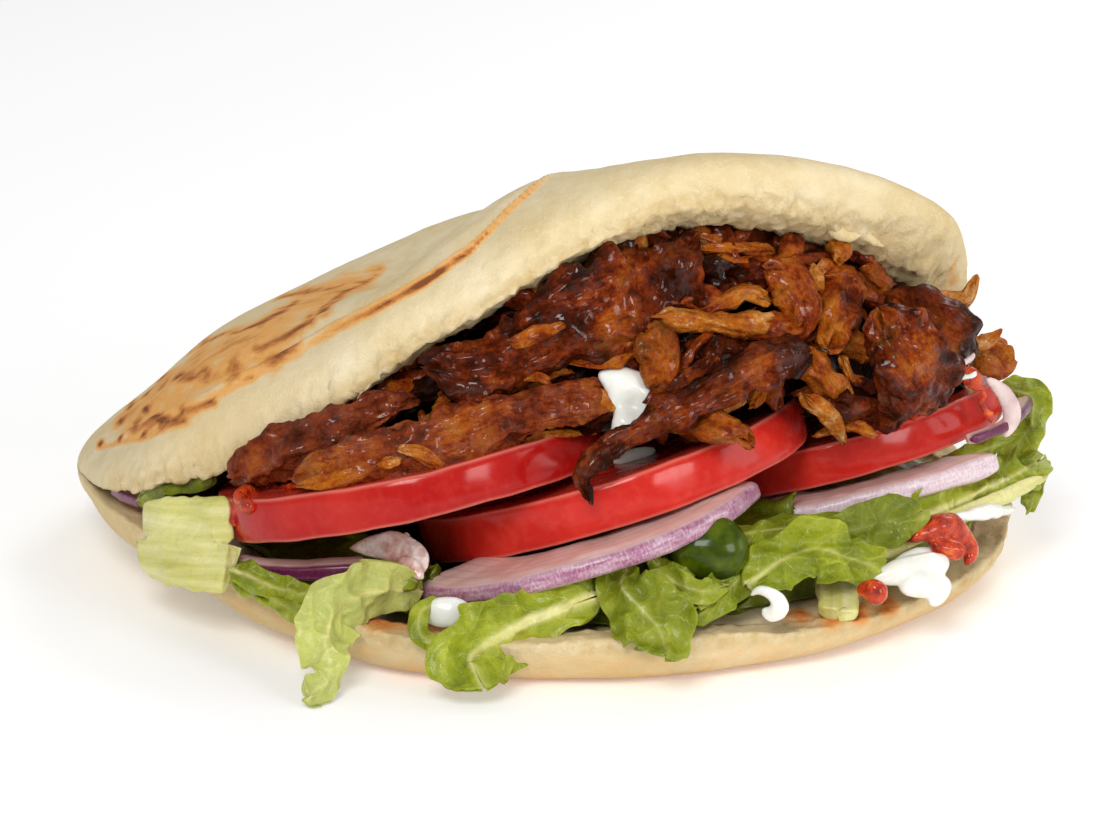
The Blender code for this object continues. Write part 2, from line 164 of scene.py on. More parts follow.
def ring_faces(rows, around):
    """Quads between consecutive closed rings of points, and fans that close the first and last ring on
    two poles."""
    grid = np.arange(rows * around).reshape(rows, around)
    a, b = grid[:-1], grid[1:]
    quads = np.stack([a, np.roll(a, -1, 1), np.roll(b, -1, 1), b], -1).reshape(-1, 4)
    first, last = rows * around, rows * around + 1
    fan = np.stack([np.roll(grid[0], -1), grid[0], np.full(around, first)], -1)
    end = np.stack([grid[-1], np.roll(grid[-1], -1), np.full(around, last)], -1)
    return quads, np.concatenate([fan, end])


def tube(points, flow, tint):
    """A closed part: rings of points (n, m, 3), with flow (along, across, number) and tint (three shares)
    at each."""
    n, m = points.shape[:2]
    quads, tris = ring_faces(n, m)

    def capped(values):
        values = np.broadcast_to(values, (n, m, 3))
        return np.concatenate([values.reshape(-1, 3), values[[0, -1]].mean(1)])
    return capped(points), quads, tris, capped(flow), capped(tint)


def piece(name, parts, material, slot, *nodes):
    """One object from parts in millimetres about the loaf's middle: merged arrays, smooth, faces
    outwards."""
    points, flows, tints, faces, start = [], [], [], [], 0
    for part in parts:
        points.append(part[0])
        flows.append(part[3])
        tints.append(part[4])
        faces += (part[1] + start).tolist() + (part[2] + start).tolist()
        start += len(part[0])
    mesh = bpy.data.meshes.new(name)
    mesh.from_pydata((np.concatenate(points) * MM + CENTRE).tolist(), [], faces)
    for label, values in (("flow", flows), ("tint", tints)):
        mesh.attributes.new(label, "FLOAT_VECTOR", "POINT").data.foreach_set(
            "vector", np.concatenate(values).astype(np.float32).ravel())
    bm = bmesh.new()
    bm.from_mesh(mesh)
    bmesh.ops.remove_doubles(bm, verts=bm.verts, dist=1e-7)
    bmesh.ops.recalc_face_normals(bm, faces=bm.faces)
    bm.to_mesh(mesh)
    bm.free()
    mesh.polygons.foreach_set("use_smooth", np.ones(len(mesh.polygons), bool))
    mesh.materials.append(material)
    mesh.update()
    obj = bpy.data.objects.new(name, mesh)
    bpy.context.scene.collection.objects.link(obj)
    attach(obj, "root")
    if nodes:
        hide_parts(*nodes)
    return obj


# ---------- materials ----------
def linear(code):
    """A hex sRGB colour as linear RGBA."""
    parts = [int(code[i:i + 2], 16) / 255 for i in (1, 3, 5)]
    return tuple(c / 12.92 if c <= 0.04045 else ((c + 0.055) / 1.055) ** 2.4 for c in parts) + (1.0,)


# each kind of node: its name, its settings, its inputs in the order they are given, the output that is used
NODES = {
    "coordinates": ("TexCoord", {}, (), "Object"),
    "attribute": ("Attribute", {}, (), "Vector"),
    "parts": ("SeparateXYZ", {}, (0,), None),
    "mapping": ("Mapping", {}, ("Vector", "Scale"), 0),
    "noise": ("TexNoise", {"Scale": 1.0, "Detail": 4.0, "Roughness": 0.55}, ("Vector",), 0),
    "cells": ("TexVoronoi", {}, ("Vector",), 0),
    "bands": ("TexWave", {"wave_type": "BANDS", "bands_direction": "Y"}, ("Vector",), 1),
    "ramp": ("ValToRGB", {}, (0,), 0),
    "mix": ("Mix", {"data_type": "RGBA"}, (0, 6, 7), 2),
    "bump": ("Bump", {}, ("Height", "Strength", "Distance", "Normal"), 0),
    **{sign: ("Math", {"operation": sign.upper()}, (0, 1), 0)
       for sign in ("add", "subtract", "multiply", "maximum", "absolute", "sine")},
}


def add(tree, kind, *given, **more):
    """Adds a node and returns its output. What is given goes to its inputs in turn: a number, a hex
    colour or another node's output, and then a ramp's (place, colour or grey level) stops. More names
    inputs or settings."""
    name, settings, order, output = NODES[kind]
    made = tree.nodes.new("ShaderNode" + name)
    for key, value in {**settings, **dict(zip(order, given)), **more}.items():
        if isinstance(key, str) and key not in made.inputs:
            setattr(made, key, value)
        elif isinstance(value, bpy.types.NodeSocket):
            tree.links.new(value, made.inputs[key])
        else:
            made.inputs[key].default_value = linear(value) if isinstance(value, str) else value
    stops = given[len(order):]
    for _ in stops[2:]:
        made.color_ramp.elements.new(0.5)
    for number, (position, colour) in enumerate(stops):
        stop = made.color_ramp.elements[number]
        stop.position = position
        stop.color = linear(colour) if isinstance(colour, str) else (colour, colour, colour, 1)
    return made.outputs if output is None else made.outputs[output]


def start(name, roughness, ior=1.45, **values):
    """A Principled material; its constants go straight on the shader's sockets."""
    made = bpy.data.materials.new(name)
    made.use_nodes = True
    tree = made.node_tree
    shader = tree.nodes["Principled BSDF"]
    shader.inputs["Roughness"].default_value = roughness
    shader.inputs["IOR"].default_value = ior
    for key, value in values.items():
        constant = linear(value) if isinstance(value, str) else value
        shader.inputs[key.replace("_", " ")].default_value = constant
    return made, tree, shader


def relief(tree, shader, *layers):
    """Bump layers, each (height socket, strength, depth in mm), one after another."""
    below = ()
    for height, strength, depth in layers:
        below = (add(tree, "bump", height, strength, depth * MM, *below),)
    tree.links.new(below[0], shader.inputs["Normal"])


def coats(tree, base, *layers):
    """Colours laid over a base one after another, each (mask, first stop, last stop, colour): the stops
    turn the mask into how much of the colour covers what is under it."""
    for mask, first, last, colour in layers:
        base = add(tree, "mix", add(tree, "ramp", mask, first, last), base, colour)
    return base


def swayed(tree, level, pattern, reach):
    """A level moved up and down by a pattern about the pattern's middle."""
    return add(tree, "add", level, add(tree, "multiply", add(tree, "subtract", pattern, 0.5), reach))


def place(tree, size, stretch=(1, 1, 1), turn=0.0):
    """Object coordinates in units of size millimetres, turned about Z and stretched along each axis."""
    turned = add(tree, "mapping", add(tree, "coordinates"), Rotation=(0, 0, math.radians(turn)))
    return add(tree, "mapping", turned, tuple(1 / (size * MM * s) for s in stretch))


def marks(tree, label):
    """A vector attribute and its three parts."""
    vector = add(tree, "attribute", attribute_name=label)
    return vector, *add(tree, "parts", vector)


def bread_material():
    """Baked flat bread: matt floury crust, cream with golden and brown grill marks, paler open crumb where
    torn, and a golden painted shade in the sunken valley behind the fold."""
    made, tree, shader = start("baked_flat_bread", 0.85, 1.4, Specular_IOR_Level=0.2)
    _, oil, _, _ = marks(tree, "flow")
    _, crumb, toast_and_shade, low = marks(tree, "tint")
    broad = add(tree, "noise", place(tree, 22))
    fine = add(tree, "noise", place(tree, 3.6), Detail=5, Roughness=0.65)
    dust = add(tree, "noise", place(tree, 0.9), Roughness=0.7)
    streak = add(tree, "noise", place(tree, 3.2, (3.6, 1.0, 1.6), 34.0), Roughness=0.6, Distortion=0.4)
    specks = add(tree, "noise", place(tree, 1.7), Detail=2)
    crust = add(tree, "ramp", broad, (0.3, "#E2D3B1"), (0.5, "#DCCAA1"), (0.7, "#D2BB8A"))
    crust = coats(tree, crust, (fine, (0.42, 0.0), (0.75, 0.5), "#C6AC78"),
                  (dust, (0.5, 0.0), (0.7, 0.45), "#E6DABE"))
    crust = add(tree, "mix", add(tree, "multiply", low, 0.4), crust, "#DDC08A")
    # the toast share also holds the painted shade in the valley behind the fold, which these coats turn
    # golden
    burnt = add(tree, "multiply", toast_and_shade, add(tree, "ramp", streak, (0.3, 0.45), (0.62, 1.0)))
    burnt = swayed(tree, burnt, dust, 0.25)
    crust = coats(tree, crust, (burnt, (0.09, 0.0), (0.32, 0.88), "#E4A455"),
                  (burnt, (0.38, 0.0), (0.62, 0.85), "#B8713A"),
                  (burnt, (0.64, 0.0), (0.86, 0.9), "#754428"),
                  (specks, (0.76, 0.0), (0.82, 0.5), "#9A6B3B"))
    inside = add(tree, "ramp", fine, (0.3, "#BFA470"), (0.5, "#CFB88A"), (0.7, "#DDCCA6"))
    colour = add(tree, "mix", crumb, crust, inside)
    soaked = add(tree, "multiply", oil, add(tree, "ramp", fine, (0.3, 0.3), (0.6, 1.0)))
    colour = coats(tree, colour, (soaked, (0.05, 0.0), (0.4, 0.8), "#D98A3A"),
                   (soaked, (0.4, 0.0), (0.8, 0.8), "#C4561C"))
    tree.links.new(colour, shader.inputs["Base Color"])
    pores = add(tree, "cells", place(tree, 1.5))
    relief(tree, shader, (broad, 0.12, 1.2), (fine, 0.25, 0.5), (pores, 0.3, 0.3), (dust, 0.6, 0.35))
    return made


# ---------- the bread ----------
BREAD_R, EDGE_Z, POLE_Z, DOME_POLE = 93.0, 11.0, 51.5, 18.5
DOME_LEFT, DOME_RIGHT, DOME_BACK = 28.5, 19.0, 13.0
MOUTH_MID, MOUTH_HALF, LIP_RISE = -62.0, 116.0, 74.0
LIP_PULL, PULL_MID, PULL_HALF = 31.0, -73.0, 108.5
DENT, DENT_MID, DENT_HALF, RIM_DROP = 9.0, -137.0, 38.0, 3.5
CORNER_LIFT, FLARE, DOME_FALL, BOXY, WALL, FLOOR = 6.0, 0.85, 3.5, 4.5, 7.0, 6.5
FILL, TUCK, TUCK_MID, TUCK_HALF = 2.6, 6.5, 14.0, 48.0   # the right side turns in behind the corner
CORNER, BEAK = 8.0, 2.2   # the square right shoulder, and the point at the left where the halves meet
FLAT_BELOW, FLAT_INSIDE = 0.86, 0.82   # the share of the radius where the lower half starts to curve up
HILL = (5.4, -7, 17, -36, 24)   # a rise on top: height, then middle and width along x and along y
STEP = (-2.4, -28, 8, -30, 40)   # a dip beside it, in the same numbers
SAG, SAG_X, SAG_WIDTH = -3.2, -84, 16   # a dip right across, near the left end
RAGGED_RIM = 0.5   # how torn the lower lip is, beside the upper one


def swell(x, y, rho):
    """How far the top of the loaf stands out of its plain form: soft rises and dips that die out at the
    lip."""
    rises = sum(height * bell(x - at_x, wide_x) * bell(y - at_y, wide_y)
                for height, at_x, wide_x, at_y, wide_y in (HILL, STEP))
    rho = np.clip(rho, 0, 1)
    return rises * (1 - rho**7) + SAG * bell(x - SAG_X, SAG_WIDTH) * (1 - rho**22)


def left_lift(x):
    """How far the left corner, where the halves meet, is lifted off the table."""
    return CORNER_LIFT * smooth((-x - 35.0) / 55.0)


def beak(angle, rho):
    """How far the loaf is drawn out to a point at the left."""
    return BEAK * bump(angle, 178.0, 14.0) * rho**16


def open_at(angle):
    """1 along the open mouth, easing to 0 at its two corners."""
    return smooth(7 * bump(angle, MOUTH_MID, MOUTH_HALF))


def upper_half(angle, rho, inner):
    """The upper half at a direction and share of the radius: a surface from the pole to the lip, plus the
    dome."""
    opening = bump(angle, MOUTH_MID, MOUTH_HALF)
    reach = BREAD_R - LIP_PULL * bump(angle, PULL_MID, PULL_HALF) - TUCK * bump(angle, TUCK_MID, TUCK_HALF)
    lip = EDGE_Z + LIP_RISE * opening
    dome = (DOME_BACK + (DOME_LEFT - DOME_BACK) * bump(angle, -125.0, 65.0)
            + (DOME_RIGHT - DOME_BACK) * bump(angle, -40.0, 70.0))
    wall = WALL if inner else 0.0
    share = rho * (reach - wall) / reach
    fall = DOME_FALL + BOXY * bump(angle, -25.0, 80.0) + CORNER * bump(angle, -14.0, 40.0)
    over = (DOME_POLE - wall + (dome - DOME_POLE) * rho**2) * np.sqrt(1 - np.clip(rho, 0, 1) ** fall)
    lean = 0.0 if inner else FLARE * bump(angle, -12.0, 80.0) * over * rho**6
    r = reach * share + lean + beak(angle, rho)
    z = POLE_Z + (lip - POLE_Z) * share**1.35 + over
    x, y = r * np.cos(np.radians(angle)), r * np.sin(np.radians(angle))
    return np.stack([x, y, z + swell(x, y, rho) + left_lift(x)], -1)


def lower_half(angle, rho, inner):
    """The lower half: flat in the middle, curving up to the rim like a quarter of an ellipse."""
    reach = BREAD_R - DENT * bump(angle, DENT_MID, DENT_HALF)
    rim = EDGE_Z - RIM_DROP * bump(angle, -38.0, 45.0)
    flat = FLAT_INSIDE if inner else FLAT_BELOW
    low = FLOOR + FILL * bump(angle, -50.0, 75.0) if inner else 0.0
    r = rho * (reach - (WALL if inner else 0.0)) + beak(angle, rho)
    turn = np.clip((rho - flat) / (1 - flat), 0, 1)
    x = r * np.cos(np.radians(angle))
    z = low + (rim - np.minimum(low, rim)) * (1 - np.sqrt(1 - turn**2))
    return np.stack([x, r * np.sin(np.radians(angle)), z + left_lift(x)], -1)


def patch(points, tint, wrap=True):
    """A grid of points (rings, around) as a part: quads, closed round the loaf where wrap is true. Its
    flow holds how much oil has soaked in."""
    n, m = points.shape[:2]
    grid = np.arange(n * m).reshape(n, m)
    if wrap:
        grid = np.concatenate([grid, grid[:, :1]], 1)
    quads = np.stack([grid[:-1, :-1], grid[:-1, 1:], grid[1:, 1:], grid[1:, :-1]], -1).reshape(-1, 4)
    flat = points.reshape(-1, 3)
    oil = strokes(flat, OIL_STAINS)[:, None] * (1.0, 0.0, 0.0)
    return flat, quads, np.zeros((0, 3), int), oil, tint.reshape(-1, 3)


def uneven(points, ragged):
    """Hand-made unevenness of the dough, and a torn edge where ragged is 1; the underside stays flat."""
    moved = 1.5 * shake(points, 34, 1) + 0.45 * shake(points, 12, 2) + 0.10 * shake(points, 3.2, 3)
    torn = 0.3 * shake(points, 6, 5) + 0.55 * shake(points, 2.0, 6) + 0.55 * shake(points, 1.1, 7)
    torn[..., 2] -= 0.8
    moved = moved + ragged[..., None] * torn
    moved[..., 2] *= smooth((points[..., 2] - 0.3) / 5)
    return points + moved


# strength, half width, then points along each mark, in mm from the loaf's middle
GRILL_MARKS = (
    (1.06, 1.0, ((-89, -12, 24), (-83, -25, 29), (-77, -35, 33), (-73, -39, 36), (-69, -42, 40),
        (-63, -46, 43))),
    (1.1, 1.7, ((-78, 1, 35), (-71, -20, 40), (-65, -35, 44))),
    (0.94, 1.6, ((-80, -10, 34), (-75, -18, 38), (-70, -28, 41))),
    (1.1, 1.4, ((-84, -5, 30), (-78, -26, 35), (-72, -39, 37), (-69, -43, 39))),
    (0.89, 1.8, ((-85, -12, 29), (-80, -27, 32), (-76, -34, 35))),
    (0.54, 5.5, ((-83, -12, 31), (-77, -20, 35), (-71, -33, 40))),
    (0.54, 5.5, ((-76, -11, 37), (-68, -19, 43), (-60, -26, 47), (-52, -31, 52))),
    (1, 1.4, ((-72, 8, 39), (-68, 4, 41), (-62, -7, 46))),
    (0.89, 2.2, ((-65, -33, 44), (-59, -42, 48), (-52, -49, 52), (-48, -50, 55))),
    (0.89, 1.6, ((-60, -15, 47), (-55, -19, 50), (-51, -17, 52), (-48, -9, 52))),
    (0.85, 1.6, ((-55, -39, 51), (-49, -41, 55), (-45, -39, 57), (-42, -36, 58), (-40, -27, 58))),
    (0.89, 1.7, ((-52, 8, 49), (-47, -1, 53), (-41, -8, 56))),
    (0.85, 1.4, ((-43, -31, 57), (-39, -16, 57), (-36, -13, 58), (-33, -6, 59))),
    (0.71, 1.6, ((-59, -39, 48), (-54, -43, 51), (-50, -47, 54))),
    (0.48, 5.0, ((-51, -19, 52), (-44, -14, 55), (-38, -12, 57))),
    (0.71, 1.2, ((-65, -38, 44), (-60, -44, 46), (-56, -49, 49))),
    (0.59, 1.6, ((79, -22, 64), (79, -20, 61))),
)
# strength, half width, then points along each place where oil has soaked into the lower half
OIL_STAINS = (
    (1.0, 2.6, ((-31, -82, 12), (-26, -83.5, 13), (-21, -84.5, 13))),
    (1.0, 2.2, ((43, -84, 14.5), (48, -84, 13), (53.5, -82, 11.5), (59, -79.5, 11.5), (64.5, -76.5, 12))),
)
# the fold above the mouth: direction in degrees, share of the radius, how brown its crest is, which also sets
# how strong the painted shade in the valley behind it is
FOLD = (
    (-178, 0.975, 0), (-167, 0.945, 0), (-157, 0.924, 0), (-147, 0.915, 0.35), (-140, 0.902, 0.5),
    (-135, 0.889, 0.6), (-128, 0.88, 0.8), (-117, 0.905, 1.0), (-109, 0.91, 1.0), (-103, 0.88, 1.0),
    (-99, 0.81, 0.95), (-95, 0.755, 0.7), (-91, 0.68, 0.4), (-86, 0.6, 0),
)


def strokes(points, table):
    """How strongly each point is marked: the strongest of the strokes, each fading as a bell with the
    distance from its line (measured across the outward direction, so that a mark lies on the crust at any
    depth)."""
    flat = points.reshape(-1, 3)
    marked = np.zeros(len(flat))
    for strength, width, stations in table:
        stations = np.array(stations, float)
        near = np.full(len(flat), 1e9)
        for a, b in zip(stations[:-1], stations[1:]):
            share = np.clip((flat - a) @ (b - a) / ((b - a) @ (b - a)), 0, 1)[:, None]
            gap = flat - a - share * (b - a)
            depth = gap @ OUTWARD
            sideways = np.linalg.norm(gap - depth[:, None] * OUTWARD, axis=1)
            near = np.minimum(near, sideways + 9 * smooth(np.abs(depth) / 14 - 1))
        marked = np.maximum(marked, strength * bell(near, width))
    return marked.reshape(points.shape[:-1])


def fold_over(angle, share, points):
    """Raises the crust in a bell-shaped ridge along the fold and sinks it behind, by the share of the radius
    off the fold's line. Gives back how brown it is: a crest on the line, and a fainter golden tint in the
    sunken valley beside it, which is painted shade."""
    bearing, fold_at, brown = np.array(FOLD).T
    off = share - np.interp(wrapped(angle), bearing, fold_at)
    here = smooth(4 * bump(angle, -128, 50))
    points[..., 2] += here * (1.5 * bell(off + 0.016, 0.02) - 3.0 * bell(off + 0.07, 0.038))
    brown = np.interp(wrapped(angle), bearing, brown) * (0.85 + 0.35 * noise(points, 9, 4))
    crest = 1.15 * brown * bell(off - 0.008, 0.012)
    # painted shade: a golden tint in the sunken valley behind the fold
    valley_shade = 0.3 * np.minimum(1, 1.5 * brown) * bell(off + 0.03, 0.06)
    return np.maximum(crest, valley_shade)


def quarter(count):
    """Shares from 0 to 1 that crowd towards 1: the sine of even steps of a quarter turn."""
    return np.sin(np.radians(np.linspace(0, 90, count)))


def rim_shares(flat, count):
    """Shares of the radius for a half with a flat middle: a few across the flat, then a quarter turn of
    the rim."""
    return np.concatenate([np.linspace(0, flat - 0.02, 8), flat + (1 - flat) * quarter(count)])


def surface(half, inner, around, rho):
    """One side of one half over (direction, share of radius), as a part with its crumb, toasting and
    paleness; the toasting also holds the painted shade in the valley behind the fold."""
    angle, share = np.meshgrid(around, rho)
    points = half(angle, share, inner)
    x, y, z = np.moveaxis(points, -1, 0)
    upper = half is upper_half
    ragged = open_at(angle) * smooth((share - 0.965) / 0.035)
    crumb, toast_and_shade, low = np.zeros_like(x), np.zeros_like(x), np.zeros_like(x)
    if inner:
        crumb += 1.0 if upper else 0.15
    else:
        crumb = open_at(angle) * smooth((share - 0.99) / 0.01)
    if upper and not inner:
        fold = fold_over(angle, share, points)
        blush = 0.22 * smooth(0.45 + rough(points, 26, 3, 9))
        blush = blush * smooth((y - 5) / 30) * smooth((0.9 - share) / 0.2)
        toast_and_shade = np.maximum(np.maximum(strokes(points, GRILL_MARKS), blush), fold)
        low = 0.9 * hump(x + 62, 26)
    elif not inner:
        toast_and_shade = 0.5 * smooth((4 - z) / 5) + 0.16 * open_at(angle) * smooth((share - 0.93) / 0.05)
        low = np.ones_like(x)
    return patch(uneven(points, ragged if upper else RAGGED_RIM * ragged), np.stack([crumb, toast_and_shade, low], -1))


def torn_lip(half, mouth):
    """The strip of open crumb that joins the outer and the inner side of a half along the mouth."""
    outside, inside = (half(mouth, np.ones_like(mouth), inner) for inner in (False, True))
    points = outside + (inside - outside) * np.linspace(0, 1, 10)[:, None, None]
    ragged = np.broadcast_to(open_at(mouth), points.shape[:2]) * (1.0 if half is upper_half else RAGGED_RIM)
    return patch(uneven(points, ragged), stacked(ragged, 0.0, float(half is lower_half)), wrap=False)


def make_bread():
    """The loaf: the outer and inner side of each half, joined by torn lips."""
    left, right = MOUTH_MID - MOUTH_HALF, MOUTH_MID + MOUTH_HALF
    mouth = np.linspace(left, right, 451)
    around = np.concatenate([mouth, np.linspace(right, left + 360, 111)[1:-1]])
    sides = ((upper_half, False, quarter(76)), (upper_half, True, quarter(24)),
             (lower_half, False, rim_shares(FLAT_BELOW, 22)), (lower_half, True, rim_shares(FLAT_INSIDE, 12)))
    parts = [surface(half, inner, around, rho) for half, inner, rho in sides]
    parts += [torn_lip(half, mouth) for half in (upper_half, lower_half)]
    return piece("bread_loaf", parts, bread_material(), "bread", "bread")


loaf = make_bread()


# ---------- the meat ----------
def roast_meat(name, wet):
    """Spit-roast meat: red-brown to golden fibres, charred on the outer crust, with a film of hot fat
    that glints."""
    made, tree, shader = start(name, 0.45, 1.45, Coat_Roughness=0.08, Coat_IOR=1.42, Specular_IOR_Level=0.2,
                               Specular_Tint="#C06A35")
    flow = add(tree, "attribute", attribute_name="flow")
    _, tone, char, rose = marks(tree, "tint")
    fibre = add(tree, "noise", add(tree, "mapping", flow, (0.3, 1.25, 1.0)),
                Detail=5, Roughness=0.65, Distortion=0.8)
    patchy = add(tree, "noise", place(tree, 4.2), Detail=5, Roughness=0.65)
    small = add(tree, "noise", place(tree, 1.1), Detail=3)
    level = tone
    for pattern, reach in ((fibre, 0.5), (patchy, 0.95), (small, 0.5)):
        level = swayed(tree, level, pattern, reach)
    colour = add(tree, "ramp", level, (0.05, "#1A0602"), (0.24, "#451304"), (0.40, "#742A0B"),
                 (0.56, "#954810"), (0.76, "#A9631E"), (0.98, "#C99256"))
    cool = add(tree, "multiply", rose, add(tree, "ramp", patchy, (0.35, 0.2), (0.6, 0.8)))
    colour = add(tree, "mix", cool, colour, "#7A3C28")
    burnt = add(tree, "add", add(tree, "multiply", patchy, 0.7), add(tree, "multiply", char, 0.42))
    colour = coats(tree, colour, (burnt, (0.48, 0.0), (0.68, 0.94), "#120604"))
    tree.links.new(colour, shader.inputs["Base Color"])
    tree.links.new(add(tree, "ramp", small, (0.3, 0.3), (0.7, 0.6)), shader.inputs["Roughness"])
    film = add(tree, "noise", place(tree, 3.0), Detail=3, Roughness=0.6)
    fat = add(tree, "multiply", add(tree, "ramp", film, (0.42, 0.02), (0.62, 1.0)), wet)
    tree.links.new(fat, shader.inputs["Coat Weight"])
    grit = add(tree, "noise", place(tree, 0.5), Detail=2)
    relief(tree, shader, (fibre, 0.5, 0.5), (small, 1.0, 0.8), (grit, 0.5, 0.22))
    return made


def shaving(number, thick, tone, char, rose, stations, step=0.6, round_count=40):
    """A carved strip: a flat, slightly angular oval carried along a twisting spline, its broad side
    facing outward. Its edges wander with noise, both ends are torn by shifting each point along the
    strip, and ridges follow the fibres."""
    length = spline_length(stations)
    even = np.linspace(0, 1, int(np.clip(length / step, 18, 130)))
    share = 0.6 * even + 0.4 * (0.5 - 0.5 * np.cos(np.pi * even))
    dense = along(stations, 300)
    line = np.stack([np.interp(share, np.linspace(0, 1, 300), dense[:, k]) for k in range(4)], -1)
    line[:, 3] = np.clip(line[:, 3], 0.3, None) ** 0.65 * line[:, 3].max() ** 0.35
    way, broad, deep = facing(line)
    share = share[:, None]
    twist = (0.55 * noise(stacked(share * length / 9, number * 1.7, 0.0)[:, 0], 1.0, number))[:, None]
    broad, deep = broad * np.cos(twist) + deep * np.sin(twist), deep * np.cos(twist) - broad * np.sin(twist)
    turn = circle(round_count)
    cos, sin = np.cos(turn), np.sin(turn)
    seen = stacked(share * length / 3.2, cos * 1.7, sin * 1.7 + number * 4.7)
    closing = closed_ends(share, 14, 0.012, 0.5)
    facets = 1 + 0.24 * noise(seen * (0.3, 1, 1), 1.1, number + 11)
    edge = 1 + 0.36 * noise(seen, 1.3, number) + 0.13 * noise(seen, 0.5, number + 2)
    wide = line[:, 3:4] * closing * edge * facets
    swelling = 1 + 0.4 * noise(seen, 1.3, number + 5)
    body = thick * closing * np.clip(line[:, 3:4] / line[:, 3].max(), 0.45, 1) * facets * swelling
    side, out = wide * signed_power(cos, 0.8), body * signed_power(sin, 0.7)
    fray = noise(stacked(0 * share + cos * 2.6, sin * 1.4, number), 0.7, number + 9)
    torn = (smooth((share - 0.8) / 0.2) - smooth((0.2 - share) / 0.2)) * fray * min(length * 0.17, 3.2)
    points = (line[:, None, :3] + broad[:, None] * side[..., None] + deep[:, None] * out[..., None]
              + way[:, None] * torn[..., None])
    normal = unit(broad[:, None] * (cos / np.maximum(wide, 0.3))[..., None]
                  + deep[:, None] * (sin / np.maximum(body, 0.3))[..., None])
    fibres = stacked(share * length / 6, side / 0.9, out / 1.6 + number)
    ridges = 0.42 * noise(fibres, 1.0, number) + 0.2 * noise(fibres * (1.5, 2.1, 1), 1.0, number + 1)
    lumps = 0.75 * rough(points, 3.2, 3, number % 7)
    raised = (ridges * (1 - 0.6 * cos**4) + lumps) * min(1, thick / 1.9) * closing
    points = points + normal * raised[..., None]
    tone = tone - 0.45 * max(0.0, tone - 0.55)
    tint = stacked(tone + 0.14 * noise(points, 3, number) + 0.18 * noise(points, 9, number + 6),
                   char * (0.7 + 0.7 * noise(points, 6, number + 3))
                   + 0.3 * np.abs(cos) ** 3 * (0.5 + noise(points, 4, number)),
                   rose * (0.8 + 0.4 * noise(points, 7, number + 4)))
    return tube(points, stacked(share * length, side, out + 10.0 * number), tint)


# half thickness, tone, char and rose, then (x, y, z, half width) along each strip, in mm
CARVED = {
    "meat_slice_big": (3.6, 0.3, 0.45, 0.1, ((-21.3, -69.3, 56.5, 2.8), (-13.9, -67.7, 56, 4.5),
        (-4.6, -65.8, 58.6, 5.2), (3.7, -65.6, 63.3, 7), (11.2, -62.9, 65.9, 8.9),
        (18.7, -58.5, 67.8, 8.6), (24.3, -56.7, 73.2, 5.6), (27.5, -53.5, 76.6, 2.2))),
    "meat_slice_left_low": (3.2, 0.46, 0.2, 0.55, ((-45.4, -74, 36.7, 1.7), (-39.7, -75.1, 38.1, 3.5),
        (-32.3, -75.7, 39.9, 5), (-23, -75.8, 42.6, 5.5), (-13.8, -73.9, 45.1, 5.2),
        (-4.6, -71.8, 48.4, 4.1), (4.7, -68.9, 49.5, 3.7), (11.5, -66.1, 48.7, 2))),
    "meat_slice_left_high": (2.6, 0.34, 0.15, 0.8, ((-58.1, -60.2, 32.5, 2.3), (-53, -62.9, 36.1, 3.8),
        (-45.8, -65.3, 39.9, 4.1), (-38.2, -65.9, 44.1, 3.7), (-30.7, -65.7, 47.4, 2.2),
        (-25.2, -64.2, 48.5, 1.1))),
    "meat_strip_front": (2.4, 0.27, 0.55, 0.1, ((8, -79.3, 34.2, 0.5), (6.7, -79.8, 38.2, 1.1),
        (9.1, -79.3, 41.1, 1.5), (14.2, -77.3, 43.8, 1.7), (21.3, -74.5, 47, 2.4),
        (28.7, -71.1, 50.5, 3.1), (36.2, -67.7, 53.7, 3.9), (43.8, -63.4, 55.6, 4.1),
        (48.4, -60.7, 56.3, 2.4))),
    "meat_chunk_front": (3.2, 0.58, 0.3, 0.15, ((23.7, -63.3, 42.8, 0.9), (27.1, -62, 43.2, 2.2),
        (31.6, -69.9, 45.1, 3), (35.8, -69.7, 43.9, 2.6), (37.2, -69.7, 42.7, 0.9))),
    "meat_slice_right": (3.2, 0.32, 0.4, 0.05, ((63.4, -51.4, 62.1, 1.9), (66.1, -51.4, 57.8, 5.7),
        (69.2, -51.9, 52.9, 8.1), (72.1, -49.3, 47.3, 7.2), (74.4, -45.5, 42.4, 2.7))),
    "meat_end_right": (2.4, 0.68, 0.15, 0, ((82, -19.8, 45.7, 1.6), (85.7, -20.1, 45.8, 3.5),
        (88.8, -18.8, 44.2, 3.3), (91.3, -18.8, 43.8, 1.2))),
}
